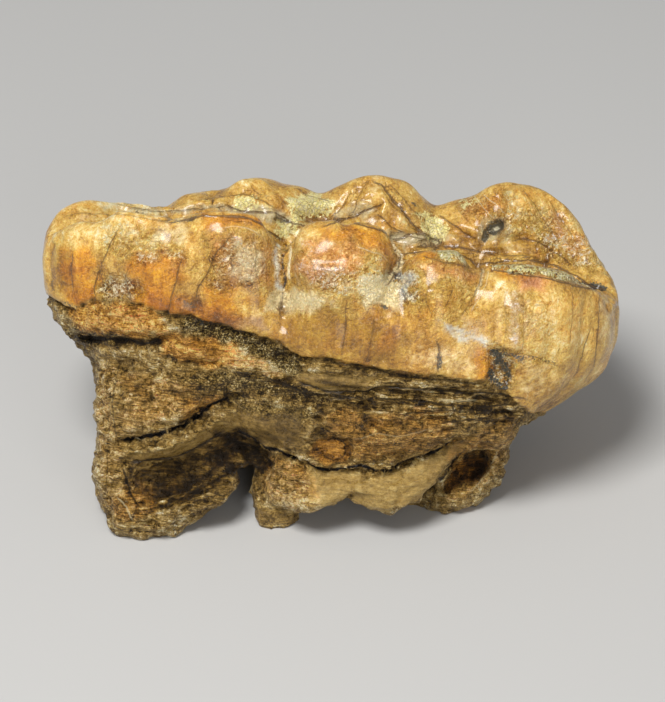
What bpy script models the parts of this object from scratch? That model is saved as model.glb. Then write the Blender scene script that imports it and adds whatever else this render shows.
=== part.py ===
"""Fossil upper second molar of a cave bear, broken off at its roots, lying on them at rest.

The tooth is one piece.  It is shaped in the tooth's own frame, in millimetres: +X runs to the mesial
(front) end, +Y to the labial (cheek) side and +Z out of the crown.  The finished body is then leaned
back on its roots and cut flat where they touch the floor, with its origin under the middle of its box.
The build's units are metres.
"""

import math
from dataclasses import dataclass

import bmesh
import bpy
import numpy as np
from mathutils import Matrix, Vector, noise
from mathutils.bvhtree import BVHTree

# Driving dimensions, in millimetres.
CROWN_LENGTH = 45.8
CROWN_MIDDLE_X = -0.1
LEAN_DEG = 20.0  # how far the chewing face leans towards the cheek side as the tooth rests
FLOOR_DROP = 10.2  # from the frame's origin down to the floor, square to the floor
VOXEL = 0.4
TRIANGLES = 9500
METRE = 0.001

# Lines along the crown: (x, value) pairs, read by smooth_line.
LINGUAL_WIDTH = [(-23, 7.2), (-17, 8.2), (-12, 8.8), (-6, 9.5), (0, 10.1),
                 (6, 10.6), (12, 11.0), (18, 11.2), (23, 11.0)]
LABIAL_WIDTH = [(-23, 6.8), (-17, 7.6), (-12, 8.4), (-6, 9.3), (0, 9.9),
                (6, 10.3), (12, 10.9), (18, 10.9), (23, 10.4)]
BULGE_HEIGHT = [(-23, 7.4), (-15, 7.0), (-7, 6.8), (0, 5.8), (6, 4.9), (12, 4.3), (18, 3.6), (23, 3.3)]
LINGUAL_CREST_Y = [(-23, -2.5), (-18, -5.2), (-10, -6.6), (0, -7.6), (12, -8.0), (18, -7.0), (23, -3.0)]
LINGUAL_CREST = [(-23, 11.2), (-20.5, 12.4), (-18, 12.8), (-15.5, 12.6), (-12.4, 12.2), (-10.2, 12.6),
                 (-7.7, 12.8), (-6.0, 12.5), (-4.9, 11.7), (-3.8, 10.9), (-2.4, 11.6), (-0.5, 12.3),
                 (1.6, 12.1), (3.6, 11.6), (4.6, 10.6), (5.4, 9.7), (6.6, 10.1), (8.8, 10.2), (10.6, 9.6),
                 (11.4, 9.0), (12.8, 9.3), (15.8, 9.5), (17.5, 9.1), (19.0, 8.3), (21.0, 6.9), (23, 5.2)]
LABIAL_CREST_Y = [(-23, 1.0), (-18, 3.8), (-10, 5.4), (0, 6.4), (12, 6.8), (18, 5.8), (23, 2.4)]
LABIAL_CREST = [(-23, 12.2), (-19.2, 12.9), (-15.4, 10.8), (-11.5, 11.4), (-9.2, 12.2), (-5.75, 12.7),
                (-2.6, 12.2), (-1.3, 11.3), (0.4, 11.8), (3.65, 13.1), (6.0, 12.6), (8.4, 10.2), (11.0, 11.5),
                (15.0, 12.9), (17.6, 12.6), (19.6, 11.5), (21.4, 9.2), (23, 7.0)]
BASIN_FLOOR = [(-23, 9.8), (-18, 8.8), (-10, 7.8), (0, 7.0), (12, 5.2), (18, 5.0), (23, 4.8)]
ENAMEL_EDGE = [(-23, 2.4), (-18, 2.4), (-10, 2.6), (-6.7, 2.6), (-2.4, 1.0), (2.5, 0.4),
               (8, -0.6), (13, -1.6), (16, -3.2), (23, -3.6)]
# where the crown's rounded ends would meet below it
DEEP_END = [(-23, -6.8), (-14, -6.8), (14, -8.4), (23, -8.4)]
END_ROUNDING = 2.7
TOP_ROUNDING = 2.7
SIDE_UNDER_ROUNDING = 5.0
END_UNDER_ROUNDING = 2.0
CREST_SPREAD = 3.0  # how far a crest reaches down into the basin
CREST_FLATTENING = (0.8, 1.3)  # how early, and how gently, the walls turn into the chewing face
ENAMEL_OVERHANG = 0.8  # how far the crown's body goes on below the enamel's edge
POST_ROUNDING = 4.5  # of the top and bottom edges of a root's post

TIP_SLOPE = 0.36  # the floor's slope across the tooth, which the root tips follow


@dataclass(frozen=True)
class Root:
    """A root: its plan centre and half sizes, the rounding of its plan, its taper and its broken end."""

    x: float
    y: float
    half_x: float
    half_y: float
    top: float
    taper: float
    slope: float
    tips: tuple  # (x, height) pairs of the broken end along the tooth
    corner: float = 3.4

    def body(self):
        """A rounded post from the crown down to the broken end, as a bmesh."""
        mesh, unit = ball(160, 120)
        flat = np.hypot(unit[:, 0], unit[:, 1])
        heading = np.arctan2(unit[:, 1], unit[:, 0])
        outline = np.abs(np.cos(heading)) ** self.corner + np.abs(np.sin(heading)) ** self.corner
        outline = outline ** (-1 / self.corner)
        spread = flat ** (2 / POST_ROUNDING) * outline
        share = 0.5 - 0.5 * np.sign(unit[:, 2]) * np.abs(unit[:, 2]) ** (2 / POST_ROUNDING)
        narrowing = 1 - self.taper * share
        x = self.x + spread * np.cos(heading) * self.half_x * narrowing
        y = self.y + spread * np.sin(heading) * self.half_y * narrowing
        tip = smooth_line(x, self.tips) + self.slope * (y - self.y)
        return reshaped(mesh, np.stack([x, y, self.top + (tip - self.top) * share], 1))


ROOTS = {
    "trunk": Root(-1.7, -0.4, 17.2, 8.4, 6.0, 0.0, 0.1, ((-19, -5.5), (16, -6.5)), 3.0),
    "trunk_front": Root(6.0, -0.8, 9.5, 8.9, 4.0, 0.04, 0.1, ((-4, -6.5), (16, -6.5)), 3.0),
    "talon": Root(-12.75, -2.6, 5.9, 5.4, 0.0, 0.0, TIP_SLOPE,
                  ((-19, -12.3), (-16, -13.0), (-14.5, -12.9), (-11, -11.5), (-8.6, -9.9), (-7, -8.8)), 4.5),
    "lingual": Root(2.4, -4.4, 8.9, 4.1, 0.0, 0.0, 0.3,
                    ((-6.5, -8.8), (-2.4, -10.4), (1.2, -9.3), (4.6, -10.6), (6.9, -9.4), (12.5, -4.2))),
    "stub": Root(-4.5, -4.8, 1.8, 1.5, -4.0, 0.0, TIP_SLOPE, ((-7, -13.2), (-2, -13.4))),
    "mesial": Root(9.7, 1.0, 5.2, 6.2, 0.0, 0.1, TIP_SLOPE,
                   ((4, -11.8), (8.2, -12.0), (10, -11.4), (12.5, -9.6), (15, -6.4))),
    "labial": Root(-8.8, 5.4, 5.0, 2.9, 0.0, 0.1, TIP_SLOPE, ((-14, -9.6), (-9, -10.2), (-4, -9.2))),
}

# The views that carvings are drawn in: the way each one looks, and its two drawing axes.
OBLIQUE = math.radians(13.0)
VIEWS = {
    "lingual": (
        (0, math.cos(OBLIQUE), -math.sin(OBLIQUE)),
        (1, 0, 0),
        (0, math.sin(OBLIQUE), math.cos(OBLIQUE)),
    ),
    "labial": ((0, -1, 0), (1, 0, 0), (0, 0, 1)),
    "top": ((0, 0, -1), (1, 0, 0), (0, 1, 0)),
    "under": ((0, 0, 1), (1, 0, 0), (0, 1, 0)),
    "distal": ((1, 0, 0), (0, 1, 0), (0, 0, 1)),
    "mesial": ((-1, 0, 0), (0, 1, 0), (0, 0, 1)),
}


def smooth_line(x, pairs):
    """The smooth curve through (x, value) pairs: a cubic whose slopes never overshoot the pairs."""
    xs, ys = np.array(pairs, float).T
    steps = np.diff(ys) / np.diff(xs)
    slopes = np.zeros(len(xs))
    same_way = steps[:-1] * steps[1:] > 0
    slopes[1:-1][same_way] = 2 / (1 / steps[:-1][same_way] + 1 / steps[1:][same_way])
    slopes[0], slopes[-1] = steps[0], steps[-1]
    at = np.clip(np.searchsorted(xs, x) - 1, 0, len(xs) - 2)
    span = xs[at + 1] - xs[at]
    t = np.clip((x - xs[at]) / span, 0, 1)
    return (
        ys[at] * (1 + 2 * t) * (1 - t) ** 2
        + ys[at + 1] * t * t * (3 - 2 * t)
        + span * (slopes[at] * t * (1 - t) ** 2 + slopes[at + 1] * t * t * (t - 1))
    )


def ramp(value, low, high):
    """0 below low, 1 above high, and smooth between them."""
    t = np.clip((value - low) / (high - low), 0, 1)
    return t * t * (3 - 2 * t)


def crown_top(x, y):
    """Height of the chewing face: a lingual and a labial row of cusps with a long basin between them."""
    floor = smooth_line(x, BASIN_FLOOR)
    rise = 0.0
    for crest, crest_y, side in ((LINGUAL_CREST, LINGUAL_CREST_Y, 1), (LABIAL_CREST, LABIAL_CREST_Y, -1)):
        away = np.maximum(side * (y - smooth_line(x, crest_y)), 0) / CREST_SPREAD
        rise = np.maximum(rise, (smooth_line(x, crest) - floor) * np.exp(-away * away))
    return floor + rise


def ball(segments, rings):
    """A unit sphere: its bmesh, and its vertices as an array."""
    mesh = bmesh.new()
    bmesh.ops.create_uvsphere(mesh, u_segments=segments, v_segments=rings, radius=1)
    return mesh, np.array([v.co for v in mesh.verts])


def reshaped(mesh, points):
    """The bmesh with its vertices moved to points."""
    for vert, point in zip(mesh.verts, points):
        vert.co = Vector(point)
    return mesh


def crown():
    """The crown: a ball whose plan, chewing face and underside are drawn to the lines above."""
    mesh, unit = ball(320, 240)
    flat = np.hypot(unit[:, 0], unit[:, 1])
    heading = np.arctan2(unit[:, 1], unit[:, 0])
    upper = unit[:, 2] > 0
    endness = ramp(np.abs(np.cos(heading)), 0.5, 0.9)
    edge_x = CROWN_MIDDLE_X + CROWN_LENGTH / 2 * np.cos(heading)
    end = (1 - np.abs(np.cos(heading)) ** END_ROUNDING) ** (1 / END_ROUNDING)
    side = np.where(unit[:, 1] < 0, -smooth_line(edge_x, LINGUAL_WIDTH), smooth_line(edge_x, LABIAL_WIDTH))
    under = SIDE_UNDER_ROUNDING + (END_UNDER_ROUNDING - SIDE_UNDER_ROUNDING) * endness
    rounding = np.where(upper, TOP_ROUNDING, under)
    spread = flat ** (2 / rounding)
    up = np.abs(unit[:, 2]) ** (2 / rounding)
    early, gentle = CREST_FLATTENING
    up = np.where(upper, 1 - np.maximum(1 - up / early, 0) ** gentle, up)
    x = CROWN_MIDDLE_X + spread * (edge_x - CROWN_MIDDLE_X)
    y = spread * side * end
    bulge = smooth_line(x, BULGE_HEIGHT)
    low = smooth_line(x, ENAMEL_EDGE) - ENAMEL_OVERHANG
    low = low + (smooth_line(x, DEEP_END) - low) * endness
    goal = np.where(upper, crown_top(x, y), low)
    return reshaped(mesh, np.stack([x, y, bulge + up * (goal - bulge)], 1))


def evaluated(obj):
    """The object's mesh with its modifiers applied, as a new mesh."""
    return bpy.data.meshes.new_from_object(obj.evaluated_get(bpy.context.evaluated_depsgraph_get()))


def applied(data, *modifiers):
    """data after each (type, settings) modifier, as a new mesh."""
    holder = bpy.data.objects.new("holder", data)
    bpy.context.scene.collection.objects.link(holder)
    for kind, settings in modifiers:
        modifier = holder.modifiers.new(kind, kind)
        for name, value in settings.items():
            setattr(modifier, name, value)
    bpy.context.view_layer.update()
    result = evaluated(holder)
    bpy.data.objects.remove(holder)
    return result


def joined(meshes):
    """The bmeshes as one mesh, still overlapping."""
    whole = bpy.data.meshes.new("blank")
    together = bmesh.new()
    for mesh in meshes:
        piece = bpy.data.meshes.new("piece")
        mesh.to_mesh(piece)
        mesh.free()
        together.from_mesh(piece)
    together.to_mesh(whole)
    together.free()
    return whole


class Clay:
    """A mesh under the knife: its points are moved along its normals by strokes and patches."""

    def __init__(self, data):
        self.data = data
        self.points = np.empty((len(data.vertices), 3))
        data.vertices.foreach_get("co", self.points.ravel())
        self.refresh()

    def refresh(self):
        """Takes the normals and the ray tree again from the points as they now are."""
        self.data.vertices.foreach_set("co", self.points.ravel())
        self.data.update()
        self.normals = np.empty((len(self.points), 3))
        self.data.vertex_normals.foreach_get("vector", self.normals.ravel())
        corners = [polygon.vertices for polygon in self.data.polygons]
        self.tree = BVHTree.FromPolygons([Vector(p) for p in self.points], corners)

    def landed(self, view, line, step=0.4):
        """The line, drawn in a view, as points on the surface, with each one's place from 0 to 1."""
        look, across, up = (np.array(axis, float) for axis in VIEWS[view])
        line = np.array(line, float)
        lengths = np.hypot(*np.diff(line, axis=0).T)
        along = np.concatenate([[0], np.cumsum(lengths)])
        places = np.linspace(0, along[-1], max(2, int(along[-1] / step) + 1)) if along[-1] else np.zeros(1)
        hits, kept = [], []
        for place in places:
            a, b = (np.interp(place, along, line[:, axis]) if along[-1] else line[0, axis] for axis in (0, 1))
            hit = self.tree.ray_cast(Vector(across * a + up * b - look * 60), Vector(look))[0]
            if hit is not None:
                hits.append(hit)
                kept.append(place / along[-1] if along[-1] else 0.5)
        return np.array(hits), np.array(kept)

    def push(self, amount):
        """Moves every point along its normal by its amount, in millimetres."""
        self.points += self.normals * amount[:, None]

    def stroke(self, view, line, width, depth, fade=0.15):
        """A groove (depth below 0) or ridge along a line, fading out at both ends."""
        hits, places = self.landed(view, line)
        if not len(hits):
            return
        gap = self.points[:, None, :] - hits[None, :, :]
        distance = np.sqrt((gap**2).sum(2))
        nearest = distance.argmin(1)
        distance = distance[np.arange(len(distance)), nearest]
        strength = np.minimum(places, 1 - places)[nearest]
        ends = ramp(strength, -0.02, fade) if len(hits) > 1 else 1.0
        facing = ramp(-(self.normals @ np.array(VIEWS[view][0])), -0.5, 0.1)
        self.push(depth * np.exp(-((distance / width) ** 2)) * ends * facing)

    def patch(self, view, outline, depth, soft, reach=99.0):
        """Sinks (depth below 0) or raises what lies inside an outline drawn in a view, with a soft edge.

        Only the surface that faces the view and lies within reach of the nearest one is moved.
        """
        look, across, up = (np.array(axis, float) for axis in VIEWS[view])
        flat = np.stack([self.points @ across, self.points @ up], 1)
        outline = np.array(outline, float)
        inside = np.zeros(len(flat), bool)
        nearest = np.full(len(flat), np.inf)
        for a, b in zip(outline, np.roll(outline, -1, axis=0)):
            side = b - a
            t = np.clip(((flat - a) @ side) / (side @ side), 0, 1)
            nearest = np.minimum(nearest, np.hypot(*(flat - a - t[:, None] * side).T))
            if a[1] != b[1]:
                crossing = (flat[:, 1] > min(a[1], b[1])) & (flat[:, 1] <= max(a[1], b[1]))
                at = a[0] + (flat[:, 1] - a[1]) * (b[0] - a[0]) / (b[1] - a[1])
                inside ^= crossing & (flat[:, 0] < at)
        within = ramp(np.where(inside, nearest, -nearest), -soft, soft)
        away = self.points @ look
        front = away[(within > 0.5) & (self.normals @ look < 0)]
        near = 1.0
        if len(front):
            middle = np.median(front)
            near = 1 - ramp(away, middle + reach, middle + 1.6 * reach)
        facing = ramp(-(self.normals @ look), 0.0, 0.35)
        self.push(depth * within * facing * near)

    def roughen(self, size, depth, where, seed):
        """Raises and sinks the surface by a noise whose lumps have the given size, where the weights say."""
        at = self.points / size + seed
        self.push(depth * np.array([noise.noise(Vector(p)) for p in at]) * where)


# Strokes: view, line, width, depth (below 0 cuts in), in millimetres.
# the broad grooves between the lobes of the lingual wall, and the swell of the lobes between them
LOBES = (
    ("lingual", [(-3.7, 9.6), (-3.7, 7.0), (-4.1, 5.7), (-3.5, 4.9), (-4.1, 2.7), (-4.0, 0.5)], 1.7, -0.9),
    ("lingual", [(5.3, 8.4), (4.9, 6.0), (4.1, 4.6), (3.6, 3.0)], 1.5, -0.9),
    ("lingual", [(11.5, 7.6), (11.5, 5.7), (10.6, 3.6), (9.7, 2.4)], 1.5, -0.7),
    ("lingual", [(-17.0, 7.4), (-12.0, 7.2), (-7.5, 7.2)], 3.2, 0.35),
    ("lingual", [(0.6, 6.6), (0.4, 3.4)], 2.8, 0.45),
    ("lingual", [(8.2, 5.4), (7.6, 3.6)], 2.4, 0.3),
    ("lingual", [(16.0, 4.6), (16.4, 0.4)], 3.4, 0.35),
    ("lingual", [(3.7, 4.6), (4.4, 3.6)], 1.0, 0.3),
)
CROWN_STROKES = (
    # the narrow bottoms of the same grooves
    ("lingual", [(-3.7, 9.8), (-3.7, 7.0), (-4.1, 5.7), (-3.5, 4.9), (-4.1, 2.7)], 0.75, -0.5),
    ("lingual", [(5.2, 8.2), (4.9, 6.0), (4.1, 4.6)], 0.75, -0.5),
    ("lingual", [(11.5, 7.2), (11.5, 5.7), (10.6, 3.6), (9.7, 2.6)], 0.75, -0.45),
    # a chipped pit and a worn notch low on the wall
    ("lingual", [(-17.4, 4.9), (-16.7, 4.9)], 0.8, -0.5),
    ("lingual", [(13.2, -0.4), (12.9, -1.4), (12.7, -2.4)], 0.75, -0.5),
    # valleys and ridges of the chewing face
    ("lingual", [(8.1, 10.8), (8.0, 9.8), (8.9, 8.6)], 0.9, -0.9),
    ("lingual", [(-1.4, 11.8), (-0.8, 10.8), (-1.1, 9.8)], 0.9, -0.8),
    ("lingual", [(3.8, 13.2), (4.6, 11.5), (6.2, 10.0), (8.3, 8.7)], 1.0, 0.6),
    ("lingual", [(11.9, 9.3), (12.4, 9.5), (12.9, 9.7)], 0.8, -0.9),
    ("top", [(-21.0, 0.5), (-17.0, -1.5), (-12.0, -1.0), (-7.0, -2.0), (-3.0, -1.5)], 1.0, -0.6),
    ("top", [(-3.7, -7.2), (-3.0, -4.6), (-1.0, -1.6)], 0.8, -0.8),
    ("top", [(5.2, -7.6), (5.8, -4.8), (5.0, -1.8)], 0.8, -0.8),
    ("top", [(11.2, -8.2), (11.0, -5.4), (12.2, -2.6)], 0.8, -0.8),
    ("top", [(1.2, -1.4), (6.4, -1.8), (11.0, -2.0), (16.0, -1.6), (19.5, -2.2)], 1.0, -0.7),
    ("top", [(-16.0, 4.6), (-15.0, 2.0), (-13.2, -0.6)], 0.9, 0.5),
    ("top", [(-9.8, 4.8), (-9.2, 2.0), (-9.8, 0.0)], 0.9, 0.5),
    ("top", [(-5.0, 5.2), (-5.0, 2.4), (-4.2, 0.2)], 0.9, 0.6),
    ("top", [(15.2, 6.0), (14.6, 3.0), (15.0, 0.2)], 1.1, 0.7),
    ("top", [(-0.4, -6.6), (0.6, -3.8), (0.2, -1.6)], 0.9, 0.5),
    ("top", [(8.4, -7.0), (8.0, -4.4), (8.8, -2.4)], 0.9, 0.5),
    ("top", [(-12.5, -5.8), (-11.6, -3.4), (-12.4, -1.6)], 0.9, 0.5),
    ("top", [(18.5, -5.4), (17.6, -3.0), (18.4, -0.6)], 0.9, 0.4),
    # the grooves between the cusps of the labial wall, and the small ridge at its foot
    ("labial", [(8.4, 10.0), (8.7, 6.6), (8.3, 3.2)], 1.6, -1.0),
    ("labial", [(-1.4, 11.4), (-1.6, 8.0), (-1.2, 4.4)], 1.5, -0.8),
    ("labial", [(-15.4, 10.6), (-15.2, 8.0), (-14.8, 5.6)], 1.3, -0.6),
    ("labial", [(14.0, 9.0), (14.2, 4.4)], 3.0, 0.35),
    ("labial", [(3.4, 9.6), (3.4, 5.0)], 2.8, 0.3),
    ("labial", [(-7.0, 9.6), (-7.0, 6.2)], 3.0, 0.25),
    ("labial", [(-17.0, 3.6), (-9.0, 2.8), (0.0, 1.4), (9.0, 0.0), (16.0, -1.0)], 0.9, 0.35),
)
ROOT_STROKES = (
    # the rough swollen band that hides the enamel's edge at the distal end, and the dark step below it
    ("lingual", [(-20.8, 2.2), (-17.0, 2.3), (-13.5, 2.0), (-11.0, 1.6)], 0.9, 0.4),
    ("lingual", [(-20.4, 0.9), (-18.0, 0.8), (-15.9, 0.6), (-13.5, 0.8), (-11.4, 0.4)], 0.75, -0.5),
    ("lingual", [(-11.8, 2.2), (-9.1, 1.4), (-6.8, 0.6), (-4.4, -0.2), (-2.4, -1.4)], 0.9, -0.8),
    # layered grooves under the crown's lingual wall
    ("lingual", [(-3.0, -2.7), (-0.2, -3.2), (2.5, -3.1), (5.2, -3.3), (8.3, -3.9), (11.4, -4.4),
                 (15.3, -5.2)], 0.75, -0.6),
    ("lingual", [(-1.7, -3.8), (1.0, -4.7), (4.1, -4.3), (7.5, -4.9), (10.6, -5.4), (13.7, -5.6)],
     0.75, -0.4),
    ("lingual", [(-10.6, -0.1), (-7.2, -1.6), (-4.4, -2.4), (-2.5, -2.6)], 0.75, -0.5),
    ("lingual", [(-18.8, -1.4), (-15.0, -1.0), (-12.0, -1.6), (-9.4, -2.6)], 0.75, -0.3),
    # the cracks that step across both broken roots
    ("lingual", [(-17.0, -7.0), (-14.4, -6.6), (-12.3, -6.0), (-10.5, -5.1), (-8.3, -3.7), (-7.5, -3.1)],
     0.75, -0.8),
    ("lingual", [(-7.5, -5.9), (-5.4, -7.3), (-3.5, -8.0), (-1.7, -8.7)], 0.75, -0.8),
    ("lingual", [(-1.7, -8.7), (0.0, -9.3), (2.2, -9.1), (4.3, -9.3), (5.5, -8.6), (8.2, -7.7), (10.0, -6.6)],
     0.75, -0.7),
    ("lingual", [(-7.4, -3.0), (-7.6, -4.6), (-7.7, -6.0)], 0.8, -0.7),
    # the raised edge strip of the distal root and the rim under its hollow
    ("lingual", [(-17.7, -3.8), (-17.7, -6.9), (-17.5, -10.0), (-17.4, -11.9)], 0.7, 0.3),
    ("lingual", [(-17.0, -7.0), (-16.6, -8.6), (-16.3, -10.1), (-15.7, -11.4)], 0.75, -0.5),
    ("lingual", [(-16.4, -11.5), (-15.3, -12.5), (-13.3, -12.9), (-10.3, -11.8), (-7.2, -10.3)], 0.6, 0.5),
    # the knob at the distal corner of the lingual root
    ("lingual", [(-3.6, -10.0), (-3.2, -10.6)], 1.5, 0.6),
    ("lingual", [(10.6, -6.2), (9.0, -8.4), (7.4, -10.6)], 0.7, -0.7),
    # furrows up the labial and end faces of the roots
    ("labial", [(-2.0, 1.0), (-1.6, -3.0), (-1.2, -6.4)], 1.6, -1.0),
    ("labial", [(-13.6, -1.0), (-13.8, -6.0), (-14.0, -10.0)], 1.0, -0.5),
    ("labial", [(9.6, -2.0), (9.8, -6.0), (9.9, -9.6)], 1.2, -0.6),
    ("mesial", [(1.0, -5.6), (0.6, -8.0), (0.4, -10.5)], 1.2, -0.5),
    ("distal", [(-2.4, 0.0), (-2.6, -5.0), (-2.4, -9.5)], 1.6, -0.5),
)
PATCHES = (
    # the broken hollow of the distal root, and the break between it and the lingual root
    ("lingual", [(-15.9, -8.7), (-12.0, -8.2), (-8.6, -6.5), (-7.2, -7.0), (-6.8, -9.2), (-8.5, -10.6),
                 (-11.8, -12.0), (-14.1, -12.1), (-15.8, -11.1)], -1.7, 0.8),
    ("lingual", [(-8.1, -6.2), (-6.7, -7.4), (-5.5, -8.6), (-5.5, -10.1), (-6.2, -11.2), (-7.2, -10.4),
                 (-7.3, -8.6)], -1.6, 0.6),
    ("lingual", [(9.5, -8.6), (11.3, -7.4), (12.3, -8.3), (11.7, -9.8), (10.0, -10.9), (8.8, -10.8)],
     -1.0, 0.5),
    # a smooth lens under the enamel, and the smooth lower band of the lingual root
    ("lingual", [(-2.7, -1.8), (-1.0, -1.0), (1.4, -1.0), (3.1, -1.8), (1.4, -2.9), (-1.0, -3.0)], 0.35, 0.4),
    ("lingual", [(-2.5, -9.5), (0.2, -9.9), (2.5, -9.8), (4.4, -10.0), (5.6, -9.3), (8.3, -8.4), (10.0, -7.2),
                 (8.3, -9.5), (6.8, -11.5), (5.2, -12.7), (3.7, -12.5), (2.6, -11.7), (0.6, -11.7),
                 (-1.7, -12.3), (-2.8, -11.1)], 0.35, 0.4),
    # the broken ends of the roots are hollow
    ("under", [(-16.5, -4.6), (-11.0, -5.0), (-9.0, -2.6), (-10.5, 0.0), (-15.5, 0.0), (-17.0, -2.0)],
     -1.4, 0.9),
    ("under", [(-11.6, 4.4), (-6.4, 4.4), (-6.0, 7.0), (-11.4, 7.2)], -1.1, 0.6),
    ("under", [(-1.5, -6.4), (4.0, -6.6), (7.4, -5.4), (7.0, -3.2), (2.0, -2.6), (-1.5, -3.6)],
     -1.4, 0.8),
    ("under", [(7.6, 1.0), (9.0, -1.6), (11.0, -1.4), (12.0, 2.0), (10.6, 4.4), (8.4, 4.0)], -1.3, 0.6),
)


def carved(data):
    """The mesh with the grooves, ridges, hollows and roughness of the tooth worked into it."""
    clay = Clay(data)
    for view, line, width, depth in LOBES:
        clay.stroke(view, line, width, depth)
    clay.refresh()
    for view, line, width, depth in CROWN_STROKES:
        clay.stroke(view, line, width, depth)
    for outline in PATCHES:
        clay.patch(*outline)
    clay.refresh()
    for view, line, width, depth in ROOT_STROKES:
        clay.stroke(view, line, width, depth)
    clay.refresh()
    x, y, z = clay.points.T
    root = 1 - ramp(z - smooth_line(x, ENAMEL_EDGE), -1.2, 0.4)
    basin = ramp(clay.normals[:, 2], 0.5, 0.9) * (z > 5)
    clay.roughen(3.0, 0.55, root, 7.3)
    clay.roughen(1.5, 0.35, root, 3.1)
    clay.roughen(2.2, 0.6, basin, 5.7)
    clay.roughen(4.5, 0.35, 1 - root, 1.9)
    clay.refresh()
    return clay.data


def seat(data):
    """Leans the tooth back on its roots, cuts them flat where they meet the floor, and centres it, in metres.

    Returns the mesh, and the place of the tooth frame's origin in it.
    """
    lean = Matrix.Rotation(math.radians(-LEAN_DEG), 4, "X")
    data.transform(Matrix.Scale(METRE, 4) @ Matrix.Translation((0, 0, FLOOR_DROP)) @ lean)
    block = bmesh.new()
    bmesh.ops.create_cube(block, size=1, matrix=Matrix.Translation((0, 0, -0.05)) @ Matrix.Scale(0.1, 4))
    below = bpy.data.meshes.new("below_floor")
    block.to_mesh(below)
    block.free()
    floor = bpy.data.objects.new("below_floor", below)
    bpy.context.scene.collection.objects.link(floor)
    data = applied(data, ("BOOLEAN", {"operation": "DIFFERENCE", "solver": "EXACT", "object": floor}),
                   ("TRIANGULATE", {}))
    bpy.data.objects.remove(floor)
    points = np.array([v.co for v in data.vertices])
    middle = (points.min(0) + points.max(0)) / 2
    data.transform(Matrix.Translation((-middle[0], -middle[1], 0)))
    return data, Vector((-middle[0], -middle[1], FLOOR_DROP * METRE))


def fossil():
    """The one material: amber enamel and brown root, as one plain colour between the two."""
    material = bpy.data.materials.new("fossil")
    material.use_nodes = True
    shader = material.node_tree.nodes["Principled BSDF"]
    shader.inputs["Base Color"].default_value = (0.42, 0.24, 0.09, 1.0)
    shader.inputs["Roughness"].default_value = 0.45
    return material


def build():
    """Makes the tooth and leaves it in the scene, on its own."""
    for obj in list(bpy.data.objects):
        bpy.data.objects.remove(obj)
    data = joined([crown()] + [root.body() for root in ROOTS.values()])
    data = applied(data, ("REMESH", {"mode": "VOXEL", "voxel_size": VOXEL}),
                   ("SMOOTH", {"factor": 0.5, "iterations": 12}))
    data = applied(carved(data), ("REMESH", {"mode": "VOXEL", "voxel_size": VOXEL}))
    ratio = TRIANGLES / (2 * len(data.polygons))
    data = applied(data, ("DECIMATE", {"ratio": ratio, "use_collapse_triangulate": True}))
    data, origin = seat(data)
    tooth = bpy.data.objects.new("tooth", data)
    data.materials.append(fossil())
    specimen = bpy.data.collections.new("fossil_cave_bear_tooth")
    bpy.context.scene.collection.children.link(specimen)
    specimen.objects.link(tooth)
    tooth["frame_origin"] = origin
    return tooth


build()
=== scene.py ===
"""Looks of a fossil cave bear molar: an amber enamel crown over rough, broken, brown roots.

The solid of the tooth is copied, remeshed finely and worked over as a carver would: lobes and their
grooves, the wrinkled chewing face, ledges, cracks and broken hollows.  Each mineral stain is a mask
brushed on to the surface, which the tooth's two finishes break up with noise of the right grain.
Some masks and noises paint light and shade into the colour too: shade in the hollows, highlights on
proud edges and rims, glints, a sheen, and the lit and shaded sides of the fine relief.

The carving is drawn in the tooth's own frame, in millimetres: +X to its mesial (front) end, +Y to its
labial (cheek) side and +Z out of the crown.  The tooth lies leaned back on its roots, so this frame is
turned about X from the scene's.
"""

import sys

import logging
import math
from dataclasses import dataclass
from enum import Enum

import bmesh
import bpy
import numpy as np
from mathutils import Matrix, Vector, noise
from mathutils.bvhtree import BVHTree


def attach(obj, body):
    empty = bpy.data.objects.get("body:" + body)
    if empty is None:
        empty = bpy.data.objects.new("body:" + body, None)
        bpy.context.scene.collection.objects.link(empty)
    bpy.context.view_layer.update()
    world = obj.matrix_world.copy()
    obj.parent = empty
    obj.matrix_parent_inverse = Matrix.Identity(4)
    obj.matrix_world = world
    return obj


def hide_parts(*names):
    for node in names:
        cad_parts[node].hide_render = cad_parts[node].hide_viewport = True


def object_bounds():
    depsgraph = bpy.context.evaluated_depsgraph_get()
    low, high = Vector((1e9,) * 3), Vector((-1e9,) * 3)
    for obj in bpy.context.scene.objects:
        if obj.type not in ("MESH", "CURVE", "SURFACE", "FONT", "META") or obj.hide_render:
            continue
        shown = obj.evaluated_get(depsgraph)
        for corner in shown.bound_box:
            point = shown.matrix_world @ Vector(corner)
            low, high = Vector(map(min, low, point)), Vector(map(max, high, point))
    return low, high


log = logging.getLogger("fossil")
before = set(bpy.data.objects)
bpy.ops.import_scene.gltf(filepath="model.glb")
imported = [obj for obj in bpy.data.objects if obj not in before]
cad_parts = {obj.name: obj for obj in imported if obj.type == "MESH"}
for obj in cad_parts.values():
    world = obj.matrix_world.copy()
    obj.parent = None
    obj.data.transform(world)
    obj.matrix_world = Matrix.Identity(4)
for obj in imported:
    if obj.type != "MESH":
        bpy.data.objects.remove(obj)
solid_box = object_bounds()

MILLIMETRE = 0.001
Line = str  # a line's or an outline's points, in millimetres: "across up, across up, ..."
Sheet = str  # strokes, one a row: "number number: Line"; a row that ends in a comma goes on below
Colour = tuple[float, float, float]

LEAN = math.radians(20.0)  # how far the crown leans towards its cheek side
FRAME_ORIGIN_MM = (0.082, -0.401, 10.2)  # the tooth frame's origin in the scene
OBLIQUE = math.radians(13.0)  # the lingual face is drawn as seen this far above it


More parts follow.
